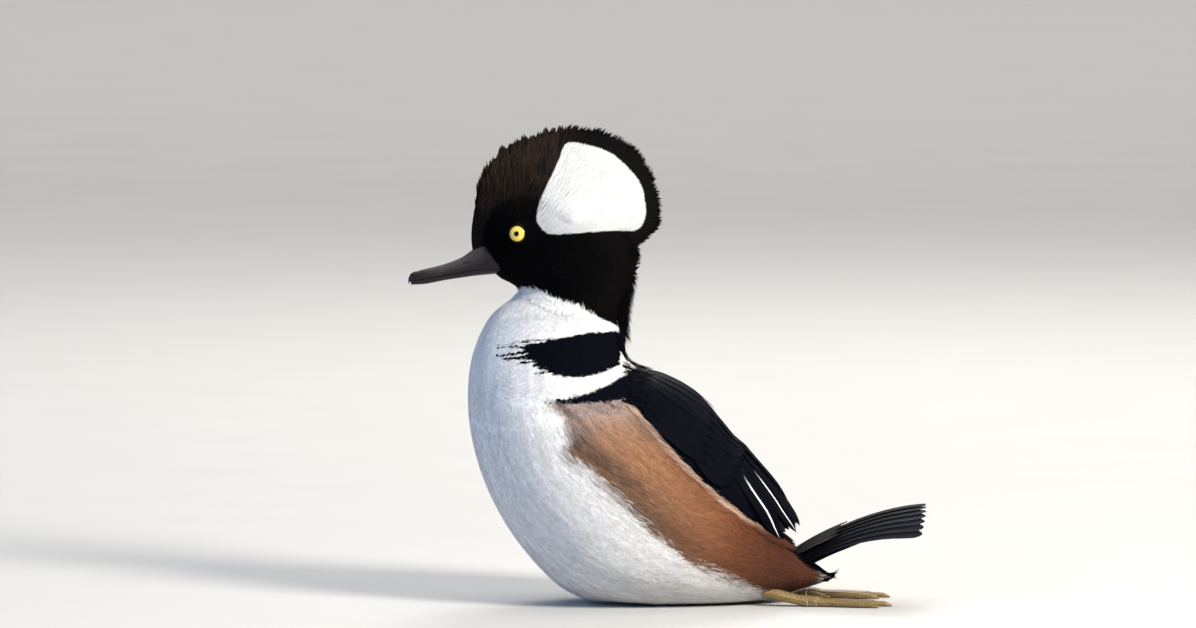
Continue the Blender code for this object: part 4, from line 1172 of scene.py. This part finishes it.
# %% Mantle and rump
VANE = [0.5, 0.85, 1.0, 0.97, 0.72, 0.0]


def down_the_back(low, high):
    """A value that changes from the nape to the middle of the back."""
    return lambda x, y, z: low + (high - low) * step(-z, -115, -80)


def away_from_wing(x, y, z):
    """From 0 at the wing's edge to 1 a little way down the flank."""
    return step(-depth_in(BACK, x, seen_height(y, z)), 1.0, 5.0)


def over_the_wing(x, y, z):
    """Where the flank's uppermost feathers grow, beside the wing."""
    back = depth_in(BACK, x, seen_height(y, z))
    return (back > -6.5) * (back < -0.8) * (x > -24) * (z > 32) * (np.abs(y) > 14)


def all_black(place, draw):
    """Blue-black for feathers that are never white, even where one reaches past its field's border."""
    shade = 1 + SHADE_CHANGE * np.sin(draw * 40)
    return np.concatenate([np.array(BLUE_BLACK) * shade[:, None], np.zeros((len(draw), 1))], 1)


coat("coat_mantle", 1700, lambda x, y, z: is_back(x, y, z) * (z > 58) * (z < 145), down_the_back(9.0, 16.0),
     down_the_back(2.1, 3.4), 0.5, wing_finish, "wing_plumage", 17, VANE, section=SMALL_VANE, thick=0.2,
     twist=0.06, colour_at=all_black)
coat("coat_rump", 1000, lambda x, y, z: is_back(x, y, z) * (z < 66), 9.0, 1.9, 0.5,
     wing_finish, "wing_plumage", 19, VANE, section=SMALL_VANE, thick=0.2, twist=0.1)
coat("flank_over_wing", 1900, over_the_wing, 9.0, 0.42, lambda x, y, z: 1.1 - 2.0 * away_from_wing(x, y, z),
     body_finish, "body_plumage", 18, NARROW, thick=0.12, twist=0.05, face=WING,
     sink=lambda x, y, z: 0.3 + 1.4 * away_from_wing(x, y, z))

# %% [markdown]
# The wing's large feathers are set one by one. Each row names where its first and last feather start and end,
# as a row of the net and the degrees from the back's middle, and the feathers between them are spread evenly.
# Each lies a little over the next one down, as a closed wing's do. The white stripe needs no texture: the
# vane's section has points close to the shaft, and only these are pale.

# %% The wings' large feathers
STRIPE_WHITE = (0.80, 0.80, 0.79)
# The stripe is this wide, as a share of the vane's half width
STRIPE_SHARE = 0.1
WING_BROWN = (0.0095, 0.0080, 0.0085)
POINTED = ([0, 0.1, 0.35, 0.7, 0.88, 1], [0.45, 0.8, 1.0, 0.85, 0.5, 0.0])
WING_STEPS = 14
# How far each feather lies over the next and its thickness, and both for the scapulars
LAYER, VANE_THICK = 0.16, 0.35
SCAPULAR = dict(layer=0.10, thick=0.26)
# The shares of its cell of the map that a large feather takes, and the distance between its barbs
CELL_WIDTH, CELL_LENGTH, LARGE_BARB = 0.8, 0.9, 0.6


def large_vanes(name, spine, normals, run, profile, half_width, thick, draw, colour_at):
    """A row of large feathers, each in its own cell of the map."""
    count = len(spine)
    widths = half_width * np.interp(run, *profile)[None] * draw.uniform(0.95, 1.05, count)[:, None]
    uv_at = np.stack([(np.arange(count) + 0.5) / count, np.full(count, 0.5)], 1)
    print(name + ":", count, "feathers")
    return vanes(name, spine, normals, widths, thick, LARGE_VANE, draw.uniform(0, 1, count), colour_at, uv_at,
                 patch=(CELL_WIDTH / count, CELL_LENGTH), barb=LARGE_BARB)


def wing_row(name, side, roots_at, tips_at, count, half_width, lift, colour, seed, stripe=0.0, nodes=(),
             layer=LAYER, thick=VANE_THICK):
    """A row of large feathers on the wing's face, from the back's middle down, with a pale stripe or none."""
    draw = np.random.default_rng(seed)
    share = np.linspace(0, 1, count)[:, None]
    ends = [np.array(a) + (np.array(b) - np.array(a)) * share for a, b in (roots_at, tips_at)]
    run = np.linspace(0, 1, WING_STEPS + 1)
    path = ends[0][:, None] + (ends[1] - ends[0])[:, None] * run[None, :, None]
    rows = path[..., 0].ravel()
    columns = (side * path[..., 1].ravel() + 180) / 360 * COLUMNS
    spine = read(WING["place"], rows, columns).reshape(count, -1, 3)
    normals = unit(read(WING["normal"], rows, columns)).reshape(count, -1, 3)
    stack = layer * (count - 1 - np.arange(count))
    height = lift[0] + (lift[1] - lift[0]) * run[None] + stack[:, None] * run[None]
    spine = spine + normals * height[..., None]
    across = np.concatenate([np.tile(np.array(LARGE_VANE)[:, 0], WING_STEPS), [0.0]])
    along = np.concatenate([np.repeat(run[:-1], len(LARGE_VANE)), [1.0]])
    pale = (np.abs(across) < STRIPE_SHARE) * step(along, 0.40, 0.48) * step(-along, -0.995, -0.97) * stripe
    tone = all_over(colour, len(pale)) * (1 - pale)[:, None] + np.array(STRIPE_WHITE) * pale[:, None]
    tone = np.tile(np.concatenate([tone, np.zeros((len(pale), 1))], 1), (count, 1))
    piece = large_vanes(name, spine, normals, run, POINTED, half_width, thick, draw, lambda place, draws: tone)
    return finished(piece, wing_finish, "wing_plumage", *nodes)


for label, side in SIDES:
    wing_row("primaries_" + label, side, [(66, 8), (64, 40)], [(34.5, 9), (40, 48)], 6, 4.6, (-3.0, -2.2),
             WING_BROWN, 51, nodes=["wing_" + label])
    wing_row("lower_tertials_" + label, side, [(76, 46), (74, 52)], [(48, 52), (52, 57)], 2, 5.2, (-2.2, -0.6),
             BLUE_BLACK, 52)
    wing_row("striped_tertials_" + label, side, [(74, 14), (76, 24)], [(35.5, 40), (41, 56)], 2, 6.0, (-1.2, 0.2),
             BLUE_BLACK, 53, 1.0)
    wing_row("inner_tertials_" + label, side, [(80, 3), (76, 7)], [(46, 8), (35, 24)], 2, 6.2, (-1.0, 0.6),
             BLUE_BLACK, 54)
    wing_row("hind_scapulars_" + label, side, [(98, 5), (92, 44)], [(66, 6), (66, 48)], 8, 5.6, (-0.6, -0.1),
             BLUE_BLACK, 55, **SCAPULAR)
    wing_row("fore_scapulars_" + label, side, [(126, 6), (114, 41)], [(92, 6), (86, 45)], 8, 5.4, (-1.3, 0.0),
             BLUE_BLACK, 57, **SCAPULAR)

# %% [markdown]
# ## The tail
#
# The tail is a cocked fan of stiff dark grey feathers. Each lies a little over its outer neighbour. They are
# built on the same arc as the solid tail: it rises steeply at the root and flattens to the tip, and its sides
# droop like a tent.

# %% The tail's arc and its feathers
TAIL_ROOT = (60.0, 20.5)
TAIL_LENGTH = 79.0
# The arc's slope at root and tip
TAIL_RISE = (math.radians(40.0), math.radians(5.0))
# How steeply the fan's sides droop, and how far ahead of the root its feathers would meet
TAIL_TENT = 0.010
TAIL_FOCUS = 20.0
TAIL_PAIRS, TAIL_STEP = 7, math.radians(2.5)
TAIL_STEPS, TAIL_THICK = 12, 0.4
# Rings lie closer together towards the tip, to draw it round
TIP_POWER = 1.7
TAIL_GREY = (0.0100, 0.0110, 0.0155)
COVERT_GREY = (0.022, 0.019, 0.020)


def tail_point(along, across, depth):
    """Points of the fanned tail: along it, across it and through it."""
    radius = TAIL_LENGTH / (TAIL_RISE[0] - TAIL_RISE[1])
    rise = TAIL_RISE[0] - along / radius
    x = TAIL_ROOT[0] + radius * (math.sin(TAIL_RISE[0]) - np.sin(rise))
    z = TAIL_ROOT[1] + radius * (np.cos(rise) - math.cos(TAIL_RISE[0]))
    lift = depth - TAIL_TENT * across**2
    return np.stack([x - np.sin(rise) * lift, across, z + np.cos(rise) * lift], -1)


def tail_row(name, angles, roots_at, tips, depths, half_width, colour, profile, seed, nodes=()):
    """Feathers of the fan, each at its own angle, from root to tip along the arc."""
    run = 1 - (1 - np.linspace(0, 1, TAIL_STEPS + 1)) ** TIP_POWER
    along = roots_at + (np.array(tips)[:, None] - roots_at) * run
    across = (along + TAIL_FOCUS) * np.tan(angles)[:, None]
    depths = np.array(depths)
    depth = depths[:, :1] + (depths[:, 1:] - depths[:, :1]) * run
    spine = tail_point(along, across, depth)
    over = tail_point(along, across + 1, depth) - tail_point(along, across - 1, depth)
    normals = unit(np.cross(np.gradient(spine, axis=1), over))
    tone = np.array([*colour, 0.0])
    piece = large_vanes(name, spine, normals, run, profile, half_width, TAIL_THICK, np.random.default_rng(seed),
                        lambda place, draws: tone * (0.85 + 0.3 * draws[:, None]))
    return finished(piece, tail_finish, "tail_plumage", *nodes)


BLUNT = ([0, 0.1, 0.4, 0.85, 0.94, 0.98, 1], [0.5, 0.75, 0.95, 1.0, 0.88, 0.55, 0.0])
pairs = [(i, side) for i in range(TAIL_PAIRS) for side in (-1, 1)]
fan = [side * TAIL_STEP * (i + 0.5) for i, side in pairs]
fan_tips = [TAIL_LENGTH - 0.12 * i**2 for i, _ in pairs]
fan_depths = [[-0.8 * (i + (0.5 if side > 0 else 0.0))] * 2 for i, side in pairs]
tail_row("rectrices", fan, 6.0, fan_tips, fan_depths, 4.5, TAIL_GREY, BLUNT, 61, ["tail"])
# Short coverts hide the roots from above and below, seven on each face, with the middle one longest
spots = np.arange(-3, 4)
for name, reach_out, deep in (("upper", 38.0, (2.6, 0.9)), ("under", 50.0, (-5.8, -6.4))):
    tail_row("tail_coverts_" + name, math.radians(4.6) * spots, 2.0, reach_out - 2.0 * np.abs(spots),
             [(deep[0] - 0.35 * abs(s), deep[1] - 0.35 * abs(s)) for s in spots], 4.4,
             COVERT_GREY, POINTED, 63)

# %% [markdown]
# ## The bill
#
# A merganser's bill is thin and nearly straight, with a hooked nail at its tip and saw teeth along its edges
# to hold fish. It is slightly glossy black horn with fine grooves along it, and over the ridge a highlight
# is painted in grey. Each half is a loft through cuts whose ridge, mouth line and width are named, in the
# same places as the solids.

# %% The bill's two halves
# x, the ridge's height, the mouth line's, the keel's and the half width
BILL = np.array([
    (-130.6, 165.0, 162.1, 161.7, 1.8), (-128.6, 167.8, 163.6, 161.6, 3.0), (-122.0, 169.6, 164.9, 162.0, 3.6),
    (-112.0, 172.2, 166.6, 163.9, 3.8), (-103.5, 175.6, 168.2, 165.2, 4.4), (-97.0, 180.0, 169.4, 166.1, 5.2),
    (-89.0, 183.5, 170.0, 166.9, 6.3), (-80.0, 185.0, 170.3, 167.5, 6.5),
])
# How square the section is, from the tip to the face, where it turns to a gable
BILL_FULLNESS = [0.75, 0.75, 0.75, 0.75, 0.8, 1.0, 1.45, 1.6]
BILL_ROWS, BILL_ARC = 90, 32
NOSTRIL, NOSTRIL_DEPTH = (-101.5, 173.2), 0.45
# The groove behind the nail: its place along x, its width and its depth
NAIL_GROOVE, NAIL_WIDTH, NAIL_DEPTH = -125.8, 0.7, 0.25
# The saw teeth: their depth, the distance between them and where they end under the face
TOOTH_DEPTH, TOOTH_SPACING, TEETH_END = 0.16, 1.0, -90
MOUTH_GAP = 0.12
# The black horn, and the grey of a highlight painted over its ridge
HORN_BLACK, HORN_HIGHLIGHT = (0.0030, 0.0024, 0.0026), (0.056, 0.045, 0.046)
horn = Finish("bill_horn", Roughness=0.42, Specular_IOR_Level=0.26)
worn = horn.grey(horn.span(horn.noise(260, 4, 0.4), 0.35, 0.7, 0.72, 1.12))
horn.colour(horn.tint("MULTIPLY", 1.0, horn.stored("marking")["Color"], worn))
# Noise drawn out along the bill makes its grooves
grooves = horn.node("Mapping", Vector=horn.here(), Scale=(0.12, 1.0, 1.0)).outputs[0]
horn.bump(horn.noise(2600, 3, 0.3, grooves), 0.12, 0.7)


def horn_tone(place):
    """The horn's colour: black at the nail and along the edges, with a highlight painted in grey over the ridge, and
    painted shade in the nostril's slit.
    """
    x, y, z = place.T
    ridge, mouth = [np.interp(x, BILL[:, 0], BILL[:, k]) for k in (1, 2)]
    height = (z - mouth) / (ridge - mouth)
    # Painted highlight: grey over the ridge between nail and face, fading towards the mouth line
    grey = step(x, -127, -113) * step(-x, 87, 102) * step(height, 0.05, 0.85)
    # The nostril's slit is painted shade: it keeps the highlight off, so the opening stays black
    slit = np.exp(-((x - NOSTRIL[0]) / 2.3) ** 4 - ((z - NOSTRIL[1] - 0.25 * (x - NOSTRIL[0])) / 0.55) ** 2)
    grey = (0.10 + 0.90 * grey) * (1 - slit)
    tone = np.array(HORN_BLACK) + (np.array(HORN_HIGHLIGHT) - np.array(HORN_BLACK)) * grey[:, None]
    return np.concatenate([tone, np.zeros((len(x), 1))], 1)


def bill_half(name, upper, node):
    """One half of the bill, from its tip to under the face."""
    at = np.linspace(0.0 if upper else 0.8, len(BILL) - 1, BILL_ROWS)
    x, ridge, mouth, keel, half = curve_at(BILL, at).T
    edge = mouth + (MOUTH_GAP if upper else -MOUTH_GAP)
    far = ridge if upper else keel
    turn = np.linspace(0, math.pi, BILL_ARC + 1)
    full = np.interp(at, np.arange(len(BILL)), BILL_FULLNESS)[:, None]
    rise = np.abs(np.sin(turn))[None] ** full
    y = half[:, None] * np.cos(turn)
    wave = np.sin(x[:, None] * 2 * math.pi / TOOTH_SPACING) * (rise < 0.12)
    teeth = TOOTH_DEPTH * wave * (x[:, None] < TEETH_END)
    z = edge[:, None] + (far - edge)[:, None] * rise + teeth * (1 if upper else -1)
    if upper:
        dip = np.exp(-((x[:, None] - NOSTRIL[0]) / 2.4) ** 4 - ((z - NOSTRIL[1]) / 0.95) ** 2)
        y = y - np.sign(y) * dip * NOSTRIL_DEPTH
        nail = np.exp(-((x - NAIL_GROOVE) / NAIL_WIDTH) ** 2)
        z = z - NAIL_DEPTH * nail[:, None] * rise
    arc = np.stack([np.repeat(x[:, None], BILL_ARC + 1, 1), y, z], -1)
    # The flat inside the mouth
    inner = np.linspace(-0.9, 0.9, 9) * half[:, None]
    inner = np.stack([np.repeat(x[:, None], 9, 1), inner, np.repeat(edge[:, None], 9, 1)], -1)
    net = np.concatenate([arc, inner], 1)
    if upper:
        net = net[:, ::-1]
    return finished(net_mesh(name, net, horn_tone(closed(net))), horn, "bill", node)


for name, upper in (("bill_upper", True), ("bill_lower", False)):
    half = bill_half(name + "_horn", upper, name)
    print(half.name + ":", len(half.data.polygons), "triangles")

# %% [markdown]
# ## The eyes
#
# The drake's eye is yellow, with a small round pupil. The ball sits deep in the head, and only its front
# shows in the ring of the lids. Iris and pupil are drawn on the ball by how far a point lies from the eye's
# own axis, with fine spokes of darker yellow and a dark rim, under a clear glossy coat.

# %% Eyeballs and lids
PUPIL, IRIS, IRIS_RIM = 1.35, 4.1, 0.7
IRIS_PALE, IRIS_DARK = (0.80, 0.59, 0.125, 1), (0.58, 0.40, 0.060, 1)
RIM_BLACK, PUPIL_BLACK = (0.006, 0.004, 0.002, 1), (0.002, 0.002, 0.002, 1)
LID_DARK, LID_PALE = (0.0012, 0.001, 0.001, 1), (0.004, 0.003, 0.003, 1)
LID_OPENING, LID_HALF_THICKNESS = 4.5, 0.5
eye_finish = Finish("eye", Roughness=0.3, Coat_Weight=0.22, Coat_Roughness=0.02, Specular_IOR_Level=0.12)
spot = eye_finish.node("SeparateXYZ", Vector=eye_finish.here()).outputs
squares = [eye_finish.math("MULTIPLY", spot[axis], spot[axis]) for axis in "XY"]
across_eye = eye_finish.math("SQRT", eye_finish.math("ADD", *squares))
spoke_angle = eye_finish.math("ARCTAN2", spot["Y"], spot["X"])
spoke_place = eye_finish.node("CombineXYZ", X=eye_finish.math("MULTIPLY", spoke_angle, 5.0),
                              Y=eye_finish.math("MULTIPLY", across_eye, 350.0)).outputs[0]
spokes = eye_finish.noise(2.4, 4, 0.3, spoke_place)
yellow = eye_finish.tint("MIX", eye_finish.span(spokes, 0.35, 0.65, 0, 1), IRIS_PALE, IRIS_DARK)
rim_share = eye_finish.span(across_eye, (IRIS - IRIS_RIM) * MM, IRIS * MM, 0, 1)
yellow = eye_finish.tint("MIX", rim_share, yellow, RIM_BLACK)
pupil_share = eye_finish.span(across_eye, (PUPIL - 0.1) * MM, (PUPIL + 0.12) * MM, 0, 1)
eye_finish.colour(eye_finish.tint("MIX", pupil_share, PUPIL_BLACK, yellow))
lid_finish = Finish("lid_skin", Roughness=0.75, Specular_IOR_Level=0.03)
lid_finish.colour(lid_finish.tint("MIX", lid_finish.noise(1500, 3), LID_DARK, LID_PALE))
lid_finish.bump(lid_finish.noise(2400, 3), 0.08)


def look_way(side):
    """An eye's middle and which way it looks: square to the skin nearest to it."""
    centre = EYE * np.array([1.0, -side, 1.0])
    flat = outer.reshape(-1, 3)
    near = np.argsort(np.hypot(flat[:, 0] - centre[0], flat[:, 2] - centre[2]) + 100 * (flat[:, 1] * side < 0))[:60]
    return centre, unit(facing.reshape(-1, 3)[near].mean(0))


for label, side in SIDES:
    centre, out = look_way(side)
    turn = Vector(out).to_track_quat("Z", "Y")
    bpy.ops.mesh.primitive_uv_sphere_add(segments=64, ring_count=40, radius=EYE_RADIUS * MM,
                                         location=to_frame(centre), rotation=turn.to_euler())
    ball = bpy.context.active_object
    ball.name = "eyeball_" + label
    ball.data.shade_smooth()
    finished(ball, eye_finish, "eye", "eye_" + label)
    ahead = math.sqrt(EYE_RADIUS**2 - LID_OPENING**2)
    bpy.ops.mesh.primitive_torus_add(
        major_segments=72, minor_segments=16, major_radius=LID_OPENING * MM,
        minor_radius=LID_HALF_THICKNESS * MM, location=to_frame(centre + out * ahead), rotation=turn.to_euler())
    lid = bpy.context.active_object
    lid.name = "lids_" + label
    lid.data.shade_smooth()
    finished(lid, lid_finish, "head_plumage")
print("eye at", EYE.round(1), "radius", round(EYE_RADIUS, 2))

# %% [markdown]
# ## Legs and feet
#
# The feet are tucked under the tail, flat on the floor. Their shape is right in the solids, so they only get
# the skin of a duck's feet: dull yellow-brown in uneven patches, with small scales between dark creases.

# %% The skin of the feet
FOOT_BROWN, FOOT_YELLOW, FOOT_CREASE = (0.16, 0.10, 0.035, 1), (0.30, 0.19, 0.06, 1), (0.07, 0.045, 0.02, 1)
SCALES_TO_METRE = 900.0
foot_finish = Finish("foot_skin", Roughness=0.5)
scales = foot_finish.node("TexVoronoi", {"feature": "DISTANCE_TO_EDGE"}, Vector=foot_finish.here(),
                          Scale=SCALES_TO_METRE).outputs["Distance"]
crease = foot_finish.span(scales, 0.0, 0.12, 0.0, 1.0)
foot_base = foot_finish.tint("MIX", foot_finish.noise(120, 4), FOOT_BROWN, FOOT_YELLOW)
foot_finish.colour(foot_finish.tint("MIX", crease, FOOT_CREASE, foot_base))
foot_finish.bump(crease, 0.15)
FEET = ("leg_left", "leg_right", "foot_left", "foot_right")
for name in FEET:
    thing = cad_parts[name]
    thing.data.materials.clear()
    thing.data.materials.append(foot_finish.material)
print("finished:", FEET)

# %% [markdown]
# ## Sizes
#
# The dressed bird has to keep the size of its solids.

# %% Finish
bpy.context.view_layer.update()
